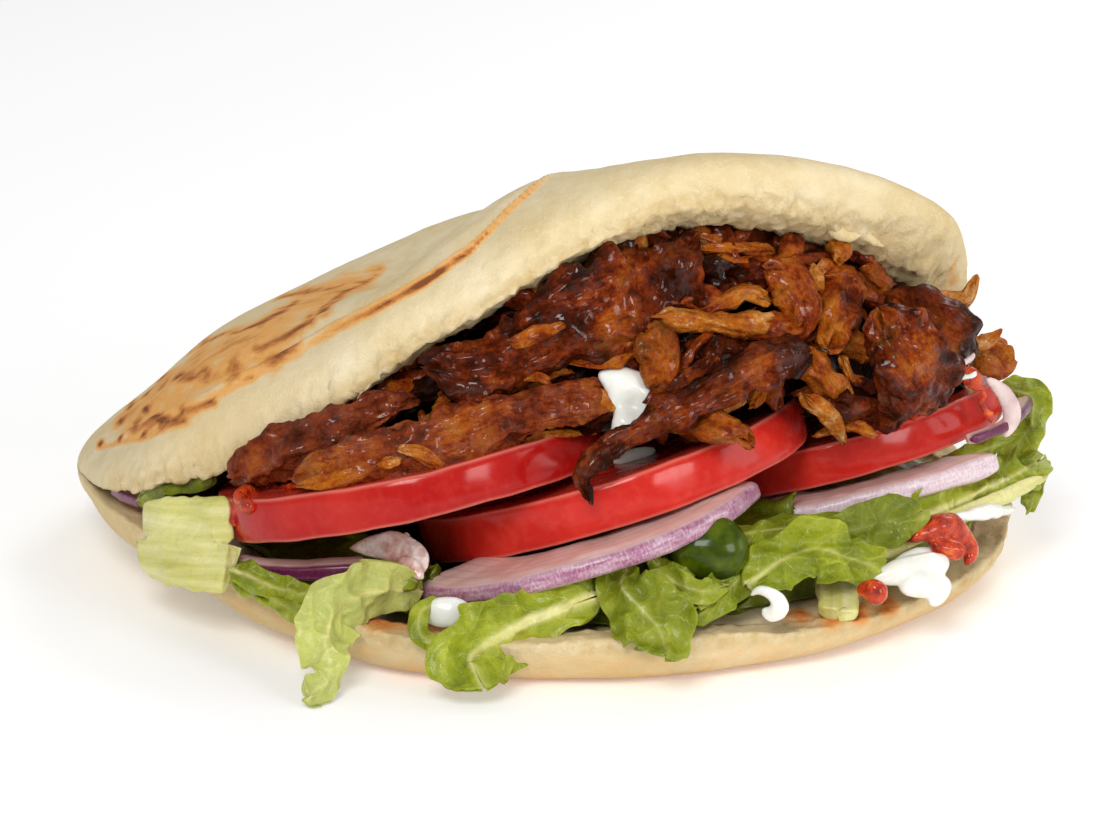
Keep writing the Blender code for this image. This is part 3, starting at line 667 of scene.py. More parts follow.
# heap shavings, in the same numbers
SHAVINGS = (
    (2.2, 0.32, 0.15, 0.8, ((23.1, -46.8, 76.5, 2.6), (32.1, -42.7, 77, 4.2), (42.8, -36.1, 73.8, 4.6),
        (51.6, -33, 71.5, 4.2), (59, -27, 67.2, 2.3))),  # under_lip
    (1.5, 0.72, 0.1, 0.3, ((10.3, -50.1, 75.2, 1.9), (17.8, -47.8, 77.5, 1.7), (27.3, -47.2, 76.6, 1.7),
        (35.8, -47.3, 73.5, 1.1), (42.9, -43.7, 71.8, 0.6))),  # under_lip_gold
    # gold_thin_a
    (1.0, 0.8, 0.1, 0, ((24.6, -50.2, 74.6, 0.8), (30.2, -50.2, 74.2, 0.9), (37.6, -47.5, 73.5, 0.9))),
    # orange_strip
    (1.2, 0.62, 0.1, 0, ((31.9, -51.2, 72.9, 0.6), (35.7, -50.6, 72, 0.9), (43.4, -45.8, 71.5, 0.9))),
    # left_gold_lip
    (1.8, 0.68, 0.2, 0, ((5.1, -50.2, 73.4, 0.8), (10.3, -50.1, 74.8, 2.1), (16.3, -47.9, 76.7, 1.7))),
    # dark_block
    (3.0, 0.16, 0.5, 0, ((22.4, -48.4, 68.3, 2.6), (29.1, -51.4, 70.6, 3.4), (35.1, -50.7, 68.9, 3))),
    # dark_block_b
    (3.0, 0.2, 0.5, 0, ((33.8, -50.9, 69.2, 2.4), (41.4, -48, 68.4, 2.6), (46.2, -46.5, 66.1, 1.9))),
    # brown_block
    (3.0, 0.42, 0.15, 0, ((22.6, -58, 67.7, 2.4), (27.9, -56.6, 66.6, 3.2), (32, -55.6, 65.5, 2.1))),
    (1.5, 0.6, 0.1, 0, ((28.9, -59.3, 64.8, 0.9), (33.1, -57.1, 65.7, 1.5), (37.4, -54.9, 66.9, 1.7),
        (41.2, -54.6, 65.3, 1.3))),  # orange_red
    (2.2, 0.88, 0.05, 0, ((19.9, -62.9, 64, 1.1), (24.4, -61.5, 63.6, 1.9), (30.8, -59.9, 62.2, 2.1),
        (37.4, -57.9, 61.3, 1.9), (43.1, -55.6, 61.3, 1.3))),  # gold_fibre
    (2.6, 0.5, 0.2, 0, ((36.9, -56.9, 61, 1.5), (42.2, -55.4, 59.7, 2.6), (48, -52.4, 58.9, 2.3),
        (49.9, -50.7, 60.7, 1.5))),  # lobe_under
    (3.0, 0.42, 0.15, 0.1, ((41.9, -50.7, 69.7, 2.3), (45.7, -50.2, 67.2, 4.5), (47.9, -52.2, 63.5, 4.5),
        (47.1, -54.7, 59.1, 1.9))),  # lobe_left
    (3.0, 0.5, 0.12, 0, ((51.1, -44.2, 67, 2.7), (55.7, -40.5, 64.1, 4.2), (54.1, -48.9, 60.3, 4.2),
        (53.3, -52.6, 55, 3))),  # lobe_mid
    (2.0, 0.34, 0.3, 0.2, ((43.2, -50.2, 70.9, 1.1), (52.2, -39.7, 69.2, 1.7), (58.2, -36, 64.7, 1.9),
        (62.6, -34.2, 59.9, 1.5), (65.2, -29.7, 58.8, 0.8))),  # lobe_rim
    # gold_top_right
    (2.0, 0.74, 0.1, 0, ((54.5, -38.4, 73.2, 1.7), (56, -39.4, 70.7, 2.1), (55.6, -40.4, 69, 1.3))),
    # brown_top_right
    (2.4, 0.5, 0.25, 0.2, ((57.9, -33.1, 69.1, 1.7), (61.5, -30.1, 67.6, 2.7), (65.7, -26.1, 64.6, 1.9))),
    (2.4, 0.42, 0.35, 0.3, ((60.5, -34.9, 65.6, 1.7), (64.2, -31.9, 62.5, 2.3),
        (67.9, -28.9, 58.5, 1.7))),  # brown_top_right_b
    # dark_back_right
    (3.0, 0.22, 0.6, 0.2, ((64.5, -28, 60.3, 1.9), (69, -25, 56.7, 3.1), (71.7, -23, 52.6, 2.7))),
    (3.0, 0.34, 0.85, 0.25, ((67.9, -35.3, 60.2, 2.9), (73.3, -35.3, 57.5, 4.6), (78, -34.3, 53.6, 4.8),
        (81.7, -32.3, 49.5, 3.3))),  # slab_right
    (1.0, 0.86, 0.1, 0, ((75.2, -26.4, 58.7, 0.8), (79, -27.4, 58.1, 1.5), (81.4, -27.4, 58.5, 1.7),
        (82.9, -26.4, 61.9, 0.4))),  # gold_tip
    # tip_spike
    (0.8, 0.85, 0.1, 0, ((81.2, -28.8, 50.1, 1), (84.8, -27.8, 49.9, 1.2), (88.1, -26.8, 51.8, 0.2))),
    # gold_ear
    (1.8, 0.8, 0.08, 0, ((57, -46.3, 56.8, 0.9), (58.4, -45.5, 54.5, 2.1), (60.6, -44.7, 50.5, 1.7))),
    (4.0, 0.62, 0.35, 0.1, ((17.6, -65.2, 62.3, 1.5), (19.9, -65.3, 59.6, 3.7), (21.4, -65.9, 55.9, 3.7),
        (20.3, -67.3, 51.3, 2.2))),  # chunk_tan
    # dark_gap: a dark shaving in a gap, partly charred meat and partly painted shade
    (2.5, 0.12, 0.6, 0, ((24.5, -60.2, 58, 2.6), (32.8, -57.3, 56.3, 3.4), (42.3, -53.9, 56.3, 2.6))),
    (1.6, 0.36, 0.2, 0.1, ((18.4, -67.1, 48.6, 0.9), (22.9, -65.6, 51.2, 1.7), (27, -63.6, 53, 1.9),
        (31.2, -61.3, 55.4, 1.1))),  # thin_under
    (2.4, 0.56, 0.15, 0, ((49, -55.1, 55.3, 1.9), (51.3, -54.5, 51.3, 2.8), (55.3, -51.7, 46.5, 2.6),
        (57, -50.3, 43.8, 1.3))),  # shred_a
    (1.6, 0.7, 0.1, 0, ((56, -50.7, 52.9, 0.9), (57.7, -50, 49.2, 1.3), (60.9, -46.8, 46.7, 1))),  # shred_b
    (3.0, 0.2, 0.6, 0.2, ((54.9, -53.8, 45.6, 1.9), (58.9, -49.6, 43.6, 3), (63.8, -45.4, 40.8, 2.9),
        (66.8, -51.8, 41.8, 1.5))),  # dark_fibre
    # dark_fibre_b
    (2.2, 0.28, 0.5, 0.3, ((58.8, -50.2, 48.1, 1.1), (62.8, -46.8, 44.8, 1.7), (66.9, -44, 41.2, 1.5))),
    # pale_shred_a
    (1.4, 0.88, 0.1, 0, ((49.2, -60.2, 47.8, 1.1), (53.3, -56.2, 43.1, 1.5), (56.4, -49.2, 36.8, 1.1))),
    # pale_shred_b
    (1.2, 0.9, 0.1, 0, ((51.7, -50.7, 38, 0.8), (57.1, -49.7, 39.3, 1.1), (62, -49.7, 38.1, 1))),
    (4.5, 0.36, 0.25, 0.1, ((-6.9, -54.5, 67.6, 1.9), (-3.2, -57.5, 66.8, 3.7), (0, -59, 66.4, 3.2),
        (2.4, -58.6, 67.1, 1.5))),  # round_chunk
    # round_chunk_top
    (1.6, 0.68, 0.1, 0, ((-3.9, -59.5, 69.3, 0.7), (-1.3, -60.8, 68.8, 1.3), (0.9, -62.5, 67.7, 0.9))),
    # dark_fill_a: a dark shaving filling a gap under the lip, partly charred meat and partly painted shade
    (3.0, 0.1, 0.8, 0, ((2.8, -56.2, 69.2, 3), (10.3, -55.4, 71.7, 4.5), (18.7, -51, 74, 4.1))),
    # dark_fill_b: a dark shaving filling a gap, partly charred meat and partly painted shade
    (3.0, 0.14, 0.6, 0, ((-14.1, -55.3, 60.4, 1.9), (-6.6, -56.3, 63.4, 2.4), (2.8, -55.9, 65.6, 2.2))),
    # brown_fill_c
    (2.6, 0.34, 0.3, 0.2, ((14.1, -51.1, 75.2, 1.7), (19.7, -50.5, 75.8, 2.8), (24.6, -49.3, 73.6, 2.3))),
    (2.4, 0.66, 0.15, 0, ((-29.8, -59.7, 48.8, 1.3), (-26.8, -60.1, 49.1, 2.2),
        (-24.2, -58.5, 47.9, 1.3))),  # cube_left
    # bit_left
    (1.6, 0.58, 0.15, 0, ((-19.7, -57.6, 49.8, 1.1), (-18.8, -65.3, 49.2, 1.5), (-19.9, -66, 47.1, 0.9))),
    # dark_fill_d: a dark shaving filling a gap, partly charred meat and partly painted shade
    (2.6, 0.14, 0.7, 0.2, ((-36.7, -56.5, 44, 1.1), (-27.2, -58.1, 46.8, 2.3), (-17.7, -61.9, 51, 2.2),
        (-10.3, -61.8, 54.4, 1.7))),  # dark_fill_d
    (1.8, 0.55, 0.2, 0, ((-22.6, -58.8, 56.3, 0.7), (-21.1, -61.2, 54.3, 1.5),
        (-21.6, -58.8, 49.7, 1.1))),  # curl_left
    # pale_strip
    (1.0, 0.98, 0, 0, ((-31.1, -78.5, 39.7, 0.6), (-28.9, -79, 40.8, 1.1), (-26.3, -78.6, 41.3, 0.6))),
    (1.2, 0.52, 0, 0, ((-45, -77, 35.8, 0.7), (-41.5, -77.6, 36.6, 1.3), (-36.5, -78.2, 38, 1.2),
        (-33, -78.4, 39.6, 0.6))),  # orange_blob
    (0.9, 0.7, 0.05, 0, ((-26.5, -79.4, 43.2, 0.7), (-23.5, -79.2, 42.6, 1.3), (-20.8, -79.2, 41.2, 1.5),
        (-19.2, -79, 39.8, 0.6))),  # gold_frill
    (0.9, 0.88, 0.05, 0, ((-5.5, -69, 40.4, 0.6), (0, -68.5, 42.9, 0.9), (5.6, -66, 42.6, 0.7),
        (8.8, -63, 42, 0.6))),  # tomato_strip
    # frayed_tip
    (1.2, 0.82, 0.1, 0, ((9.9, -67.4, 50.6, 0.7), (11.7, -67, 48.9, 1.5), (14, -66.8, 47.5, 0.7))),
    # orange_tear
    (1.2, 0.62, 0.05, 0, ((-6.1, -71.1, 61.6, 0.7), (-1.8, -70.3, 62.7, 1.5), (3.2, -69.7, 64.5, 0.9))),
    (1.0, 0.62, 0.1, 0, ((-5, -67.9, 53.4, 0.7), (-1.8, -68, 54.2, 0.9), (0.8, -69.1, 53.5, 0.6))),  # flap
    # tan_edge
    (1.6, 0.7, 0.1, 0, ((13.6, -65.8, 59.2, 1.1), (17.3, -64.3, 61.3, 1.9), (20.3, -62.6, 62.4, 1.1))),
    # brown_edge
    (1.6, 0.5, 0.2, 0, ((5.6, -66.6, 56.5, 0.9), (11.2, -66, 56.7, 1.5), (17.7, -64.3, 58.2, 1.1))),
)


def core(node, shrink, seed, tint):
    """A copy of a heap, merged, drawn in along its normals and roughened: what shows between the pieces on
    it. The tint it is given darkens it as painted shade."""
    bm = bmesh.new()
    bm.from_mesh(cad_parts[node].data)
    bmesh.ops.remove_doubles(bm, verts=bm.verts, dist=1e-6)
    bmesh.ops.subdivide_edges(bm, edges=bm.edges, cuts=2, use_grid_fill=True)
    bmesh.ops.triangulate(bm, faces=bm.faces)
    bm.normal_update()
    points = np.array([vert.co for vert in bm.verts])
    normals = np.array([vert.normal for vert in bm.verts])
    faces = np.array([[vert.index for vert in face.verts] for face in bm.faces])
    bm.free()
    points = (points - CENTRE) / MM
    points = points + normals * (1.1 * rough(points, 5, 3, seed) - shrink)[:, None]
    return points, np.zeros((0, 4), int), faces, points, np.broadcast_to(tint, points.shape)


SHARD_TONES, TONE_CHANCES = (0.2, 0.3, 0.4, 0.5, 0.6, 0.72), (0.2, 0.25, 0.22, 0.15, 0.12, 0.06)


def shards(count, seed):
    """Small torn bits lying on the front of the heap: places drawn by area, each a short strip along the
    surface."""
    chance = np.random.default_rng(seed)
    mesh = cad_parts["meat_heap"].data
    middle = np.array([face.center for face in mesh.polygons])
    normal = np.array([face.normal for face in mesh.polygons])
    area = np.array([face.area for face in mesh.polygons]) * np.clip(normal @ OUTWARD - 0.1, 0, 1)
    picked = chance.choice(len(area), count, p=area / area.sum())
    rows = []
    for number, at in enumerate(picked):
        up = unit(normal[at] + 0.4 * OUTWARD)
        level = unit(np.cross(up, (0.0, 0.0, -1.0)))
        slope = chance.normal(0.35, 0.7)
        way = level * math.cos(slope) + np.cross(up, level) * math.sin(slope)
        half, wide = chance.uniform(2.6, 6.5), chance.uniform(0.8, 2.4)
        spot = (middle[at] - CENTRE) / MM + up * chance.uniform(-0.2, 1.2)
        spot = spot + chance.normal(0, 1.6, 3) * (1, 0.3, 1)
        bend = np.cross(up, way) * chance.normal(0, 1.2) + up * chance.uniform(-0.3, 0.9)
        first, last = spot - way * half, spot + way * half
        stations = ((*first, wide * 0.5), (*(spot + bend), wide), (*last, wide * 0.6))
        tone = chance.choice(SHARD_TONES, p=TONE_CHANCES)
        thick, char = chance.uniform(0.6, 1.5), chance.uniform(0.1, 0.6)
        rows.append(shaving(number + 300, thick, tone, char, 0.1, stations, 0.8, 24))
    return rows


def make_meat():
    """The large slices one by one, finest where they show most, then the heap's shavings, shards and
    core."""
    crust = roast_meat("roast_meat_crust", 0.6)
    for number, (name, row) in enumerate(CARVED.items()):
        shown = name in ("meat_slice_big", "meat_slice_left_low", "meat_slice_right")
        step, round_count = (0.42, 90) if shown else (0.5, 56)
        part = shaving(number + 40, *row, step, round_count)
        piece(name.replace("meat", "carved"), [part], crust, "meat", name)
    heap = [shaving(number, *row) for number, row in enumerate(SHAVINGS)]
    piece("carved_heap", heap, crust, "meat", "meat_heap")
    piece("carved_shards", shards(130, 5), crust, "meat")
    # the heap core is nearly black, low tone and fully charred: painted shade between the shavings
    piece("carved_heap_core", [core("meat_heap", 2.6, 3, (0.1, 1.0, 0.0))], crust, "meat")


make_meat()


# ---------- tomato and onion ----------
# middle x, y and z, slope along x and along y, radius, thickness
TOMATO = {
    "tomato_slice_left": (-25.0, -45.0, 29.1, 0.22, -0.15, 38.5, 8.6),
    "tomato_slice_middle": (12.9, -36.0, 26.0, 0.32, -0.13, 38.5, 9.0),
    "tomato_slice_right": (58.5, -9.0, 26.2, 0.28, -0.13, 33.0, 7.8),
}
# middle x, y and z, slopes, outer radius, ring width, thickness, first and last direction, depth of purple
ONION = {
    "onion_slice_middle": (6.9, -51.0, 19.2, 0.30, -0.09, 37.0, 19.0, 4.6, -152.0, -12.0, 0.35),
    "onion_slice_right": (59.5, -17.0, 19.0, 0.23, -0.15, 34.0, 16.0, 4.8, -158.0, -28.0, 0.12),
    "onion_slice_left": (-37.0, -33.0, 15.8, 0.05, -0.02, 37.4, 6.0, 3.2, -130.0, -84.0, 1.0),
    "onion_tip_left": (-59.0, -16.0, 19.4, 0.0, 0.0, 28.0, 4.5, 2.4, -160.0, -134.0, 0.7),
    "onion_slice_behind": (60.6, -13.0, 24.3, 0.27, -0.12, 36.6, 3.4, 2.0, -50.0, 6.0, 0.9),
}


def plane_of(slope_x, slope_y):
    """Two level directions and the normal of a plane that rises by these slopes."""
    up = unit(np.array([-slope_x, -slope_y, 1.0]))
    right = unit(np.array([1.0, 0.0, slope_x]))
    return right, np.cross(up, right), up


def tomato_material():
    """Ripe tomato: thin taut glossy skin, and wet cut flesh with a paler wall and darker seed chambers; the
    left slice's skin is darkened as painted shade, the others are lightened as painted light, and a painted
    highlight runs along the skin's edges.
    """
    made, tree, shader = start("ripe_tomato", 0.32, 1.42, Coat_Weight=0.4, Coat_Roughness=0.14,
                               Specular_IOR_Level=0.2, Specular_Tint="#E8604A")
    flow, _, _, number = marks(tree, "flow")
    _, face, radius, rim = marks(tree, "tint")
    cloudy = add(tree, "noise", place(tree, 14), Detail=3)
    fine = add(tree, "noise", place(tree, 2.2))
    painted_slice_light = add(tree, "multiply", number, 0.1)
    skin = add(tree, "ramp", cloudy, (0.3, "#AC120F"), (0.55, "#BC1B16"), (0.75, "#CE3226"))
    # by slice number the left slice's skin is darkened towards deep red, painted shade, and the middle and
    # right ones lightened, painted light
    skin = coats(tree, skin, (fine, (0.5, 0.0), (0.8, 0.3), "#E3604C"),
                 (painted_slice_light, (0.2, 0.45), (0.8, 0.0), "#8A0C0A"),
                 (painted_slice_light, (0.2, 0.0), (0.8, 0.3), "#DA3A2C"))
    chambers = add(tree, "noise", add(tree, "mapping", flow, (0.12, 0.25, 1.0)), Detail=2)
    flesh = add(tree, "ramp", chambers, (0.35, "#98100A"), (0.5, "#B22214"), (0.65, "#CC4A2E"))
    flesh = coats(tree, flesh, (radius, (0.78, 0.0), (0.88, 1.0), "#CB3A2A"))
    colour = add(tree, "mix", face, skin, flesh)
    # a pale pink line along both edges of the skin: painted highlight
    colour = add(tree, "mix", add(tree, "multiply", rim, 0.4), colour, "#EE9A86")
    tree.links.new(colour, shader.inputs["Base Color"])
    tree.links.new(add(tree, "ramp", fine, (0.3, 0.2), (0.7, 0.36)), shader.inputs["Roughness"])
    relief(tree, shader, (cloudy, 0.12, 1.0), (fine, 0.18, 0.25))
    return made


def tomato_slice(number, x, y, z, a, b, radius, thick):
    """A slice: rings out over the lower face, round the bulging skin, and back over the upper face,
    slightly lobed."""
    right, ahead, up = plane_of(a, b)
    face_share = np.concatenate([np.linspace(0.02, 0.93, 20), [0.955]])
    turn_in = np.radians(np.linspace(-90, 90, 22))
    skin_share, flat_face = 0.97 + 0.03 * np.cos(turn_in) ** 0.7, np.ones_like(face_share)
    s = np.concatenate([face_share, skin_share, face_share[::-1]])[:, None]
    height = np.concatenate([-flat_face, signed_power(np.sin(turn_in), 0.75), flat_face])[:, None]
    side = np.concatenate([0 * flat_face, np.ones_like(turn_in), 0 * flat_face])[:, None]
    t = circle(220)
    lobes = 1 + 0.008 * np.cos(5 * t + number) + 0.006 * np.cos(3 * t + 2 * number)
    out = right * np.cos(t)[..., None] + ahead * np.sin(t)[..., None]
    flat = radius * s * lobes
    points = np.array([x, y, z]) + out * flat[..., None] + up * (height * thick / 2)[..., None]
    dent = (1 - side) * smooth((0.86 - s) / 0.1) * smooth((s - 0.25) / 0.1)
    dent = dent * (0.5 + 0.5 * np.cos(6 * t + number))
    points = points - up * (np.sign(height) * 0.5 * dent)[..., None]
    points = points + 0.16 * shake(points, 5, number) + 0.25 * shake(points, 16, number + 1)
    # rim marks a thin line along both edges of the skin, where the material paints a highlight
    rim = bell(np.abs(height) - 0.93, 0.06) * side
    return tube(points, stacked(radius * t, flat, 10.0 * number), stacked(1 - side, s, rim + 0 * t))


def onion_material():
    """Red onion: thin satin skin in purple lines along the bulb, pale juicy flesh in layers."""
    made, tree, shader = start("red_onion", 0.32, 1.4, Coat_Weight=0.3, Coat_Roughness=0.2)
    flow = add(tree, "attribute", attribute_name="flow")
    _, skin, layer, deep = marks(tree, "tint")
    lines = add(tree, "noise", add(tree, "mapping", flow, (2.2, 0.12, 1.0)), Roughness=0.65)
    broad = add(tree, "noise", add(tree, "mapping", flow, (0.16, 0.1, 1.0)), Detail=2)
    purple = add(tree, "ramp", lines, (0.3, "#7C3E60"), (0.5, "#9E6480"), (0.72, "#C49AAC"))
    pale = add(tree, "ramp", lines, (0.3, "#C8AAB4"), (0.55, "#DECCD0"), (0.75, "#F0E6E6"))
    dark = add(tree, "ramp", lines, (0.3, "#4A0E2E"), (0.6, "#6B1F48"), (0.8, "#8C4A72"))
    outside = coats(tree, pale, (swayed(tree, deep, broad, 0.5), (0.1, 0.0), (0.4, 1.0), purple),
                    (deep, (0.6, 0.0), (0.75, 1.0), dark))
    rings = add(tree, "bands", flow, Scale=0.10, Distortion=0.4, Detail=1.0)
    inside = add(tree, "ramp", broad, (0.3, "#DDB8A8"), (0.6, "#E8CCC0"), (0.8, "#F0DDD4"))
    inside = coats(tree, inside, (rings, (0.82, 0.0), (1.0, 0.5), "#C79DB4"),
                   (layer, (0.0, 0.55), (0.07, 0.0), "#B07FB0"))
    tree.links.new(add(tree, "mix", skin, inside, outside), shader.inputs["Base Color"])
    grain = add(tree, "noise", place(tree, 1.2), Detail=2)
    relief(tree, shader, (lines, 0.25, 0.25), (grain, 0.15, 0.15))
    return made


def onion_arc(number, x, y, z, a, b, radius, width, thick, first, last, deep):
    """An arc of onion ring: a rounded section (skin side bulging) carried round a circle on a tilted
    plane."""
    right, ahead, up = plane_of(a, b)
    count = int(abs(last - first) * np.pi / 180 * radius / 0.7)
    angle = np.radians(np.linspace(first, last, count))[:, None]
    turn = circle(48)
    s = 0.5 - 0.5 * signed_power(np.cos(turn), 0.45)
    closing = closed_ends(np.linspace(0, 1, count)[:, None], 40, 0.02, 0.35)
    wave = stacked(3 * np.cos(angle) + 0 * turn, 3 * np.sin(angle), number)
    wide = width * (1 + 0.1 * noise(wave, 0.8, number))
    inset = (s - 0.5) * wide * closing + 0.5 * width
    tall = 0.5 * signed_power(np.sin(turn), 0.5) * thick * closing * (1 + 0.1 * noise(wave, 0.6, number + 1))
    out = right * np.cos(angle)[..., None] + ahead * np.sin(angle)[..., None]
    middle = np.array([x, y, z]) + 0.5 * noise(wave, 1.2, number + 2)[..., None] * up
    points = middle + out * (radius - inset)[..., None] + up * tall[..., None]
    points = points + 0.12 * shake(points, 2.5, number)
    skin = smooth((1.3 - s * width) / 1.1) + 0 * angle
    return tube(points, stacked(radius * angle, s * width, 10.0 * number + tall), stacked(skin, s, deep))


def make_slices():
    """The three tomato slices and the five arcs of onion."""
    ripe, raw = tomato_material(), onion_material()
    for number, (name, spec) in enumerate(TOMATO.items()):
        piece(name.replace("slice", "round"), [tomato_slice(number, *spec)], ripe, "tomato", name)
    for number, (name, spec) in enumerate(ONION.items()):
        piece(name.replace("onion", "red_onion"), [onion_arc(number, *spec)], raw, "onion", name)


make_slices()


# ---------- lettuce ----------
# lean in degrees, crinkle in mm, shade (above 0 a darker green, partly the leaf's own and partly painted
# shade; below 0 painted light), share of pale rib, then (x, y, z, half width) along each leaf
LEAVES = {
    "lettuce_leaf_left": (20, 1.5, -0.55, 0.35, ((-23.7, -74, 14.5, 1.7), (-31, -78, 16.2, 4.5),
        (-38.1, -85, 14.9, 6.5), (-41, -89, 9.7, 5), (-39.7, -93, 6.4, 2.4), (-40, -96, 3.9, 1.6),
        (-42.8, -98.5, 2.5, 1.1))),
    "lettuce_leaf_middle": (15, 1.5, 0.1, 0.6, ((7.4, -84, 15.8, 1.8), (0.6, -87, 14.2, 3.6),
        (-6.7, -90, 12.1, 6.4), (-11.8, -93, 9.7, 8.2), (-13.5, -96, 7.4, 7.2),
        (-12.1, -98.5, 5.2, 2.6))),
    "lettuce_leaf_curled": (15, 1.5, 0.45, 0.2, ((15.4, -80, 21.1, 3), (14.2, -84, 18.5, 3.7),
        (17.5, -90, 16.2, 6.2), (20.7, -94, 13.7, 6.6), (21.9, -96.5, 11, 4), (21.7, -98, 9.2, 1.3))),
    "lettuce_rib_left": (0, 0.7, 0, 1, ((-75.7, -47, 16.2, 5.2), (-71.4, -53, 17.6, 7.6),
        (-65.3, -59, 18.7, 8.7), (-59.6, -64, 20.3, 8.9))),
    "lettuce_rib_right": (0, 0.5, 0, 1, ((54.9, -62, 14.1, 3.6), (55, -68, 11.7, 4),
        (54.7, -73.5, 9.2, 3.7))),
    "lettuce_leaf_right": (10, 1.8, 0.15, 0.5, ((63.5, -57, 16.5, 1.3), (70.4, -51, 21, 3.8),
        (78.8, -41, 21.3, 4.8), (88.6, -28, 21.6, 4.7), (97.1, -16, 22.2, 3))),
    "loose_right_rib": (0, 0.5, 0, 1, ((61.7, -61, 15.8, 0.6), (68.3, -55, 17.7, 1.1),
        (76.5, -47, 19.4, 1.7), (86, -36, 19.8, 1.6), (96, -22, 20.2, 1))),
    "loose_right_centre": (10, 1.3, 0.45, 0.15, ((41.6, -71, 22.3, 2.2), (37.7, -76, 19, 3.3),
        (33.1, -81, 16, 3.9), (28.6, -85, 13.8, 1.8))),
    "loose_crinkled": (10, 1.7, 0.2, 0.3, ((37.6, -79, 17.1, 2.2), (43.3, -76, 20.2, 4.8),
        (50.3, -72, 22, 6), (57, -70, 19.1, 4.1), (63.6, -68, 16.1, 1.7))),
    "loose_dark_right": (5, 1.3, 0.75, 0.1, ((52.7, -66, 22.5, 2.3), (59.2, -64, 23.5, 4.1),
        (66, -60, 23.8, 4.5), (70.8, -58, 24.8, 1.5))),
    "loose_far_right": (0, 1.6, 0.1, 0.2, ((90.9, -6, 34.9, 1.8), (95.9, -8, 32.6, 3.6),
        (95.2, -9, 27.1, 3), (92.4, -10, 22.4, 3), (90.4, -12, 19.3, 1.6))),
    "loose_far_tip": (0, 0.9, 0.15, 0.2, ((98.4, -14, 22.8, 1.4), (96.3, -17, 17.1, 2),
        (94.7, -19, 12.8, 1.4))),
    "loose_left_mid": (10, 1.1, 0.15, 0.3, ((-59.3, -64, 16, 1.5), (-54.4, -69, 14.4, 3),
        (-48.5, -74, 13.3, 2.8), (-42.9, -77, 13.1, 1.7))),
    "loose_left_under": (10, 0.9, 0.5, 0.1, ((-50.8, -76, 13.2, 1.1), (-46.5, -80, 12.1, 2),
        (-43.8, -82, 11.2, 1.1))),
    "loose_olive": (20, 0.8, 0.95, 0, ((-52, -68, 13.5, 1.1), (-46.1, -66, 13.8, 2.4),
        (-38.3, -64, 14.4, 2.1))),
    "loose_back_left": (10, 0.9, 0.7, 0.1, ((-78.1, -40, 21.6, 1.4), (-72.9, -44, 24.9, 2.2),
        (-66.8, -48, 27.3, 2), (-63, -50, 29.1, 1))),
    "loose_behind_right": (10, 1.2, 0.3, 0.2, ((70, -38, 24.5, 1.2), (77, -32, 26, 2), (84, -26, 27, 2.2),
        (90, -20, 27.5, 1.6))),
    "loose_left_fold": (10, 1.2, 0.1, 0.3, ((-58.7, -68, 16.5, 1.6), (-52.8, -73, 15.7, 2.6),
        (-47.1, -76, 14.7, 2.4), (-42.1, -78, 14.2, 1.6))),
    "loose_under_onion": (10, 1.1, 0.4, 0.2, ((17.6, -82, 18, 1.6), (23.2, -80, 19.3, 2),
        (28.7, -78, 21.6, 1.6))),
    "loose_small_dark": (10, 0.9, 0.6, 0, ((2.1, -82, 17.5, 1.1), (6.1, -84, 17.7, 2),
        (10.6, -80, 18, 2))),
    "loose_under_pepper": (10, 1.2, 0.35, 0.2, ((20.4, -78, 21.6, 1.5), (23.5, -82, 19, 2.6),
        (28.6, -84, 17.3, 2.2), (32.7, -82, 17.5, 1.3))),
    "loose_front_mid": (15, 1, 0.5, 0.1, ((11.1, -84, 15.8, 0.9), (19.4, -86, 16.4, 1.8),
        (26.7, -86, 14.9, 1.1))),
    "loose_curl_mid": (5, 0.8, 0.15, 0.2, ((-19.3, -84, 15.8, 1.3), (-22.9, -88, 14.8, 1.7),
        (-22.9, -91, 11.5, 2), (-19.2, -93, 9.9, 1.5))),
    "loose_behind_onion": (10, 1, 0.4, 0.2, ((29.2, -60, 22.2, 1.5), (37.5, -66, 22.7, 2.1),
        (45.9, -66, 24.1, 2.3), (53.6, -62, 24.4, 1.5))),
    "loose_front_left": (15, 1, 0.55, 0.2, ((-36.5, -70, 15.1, 1.9), (-29.9, -72, 16.8, 2.6),
        (-24.2, -76, 16.7, 1.9))),
}


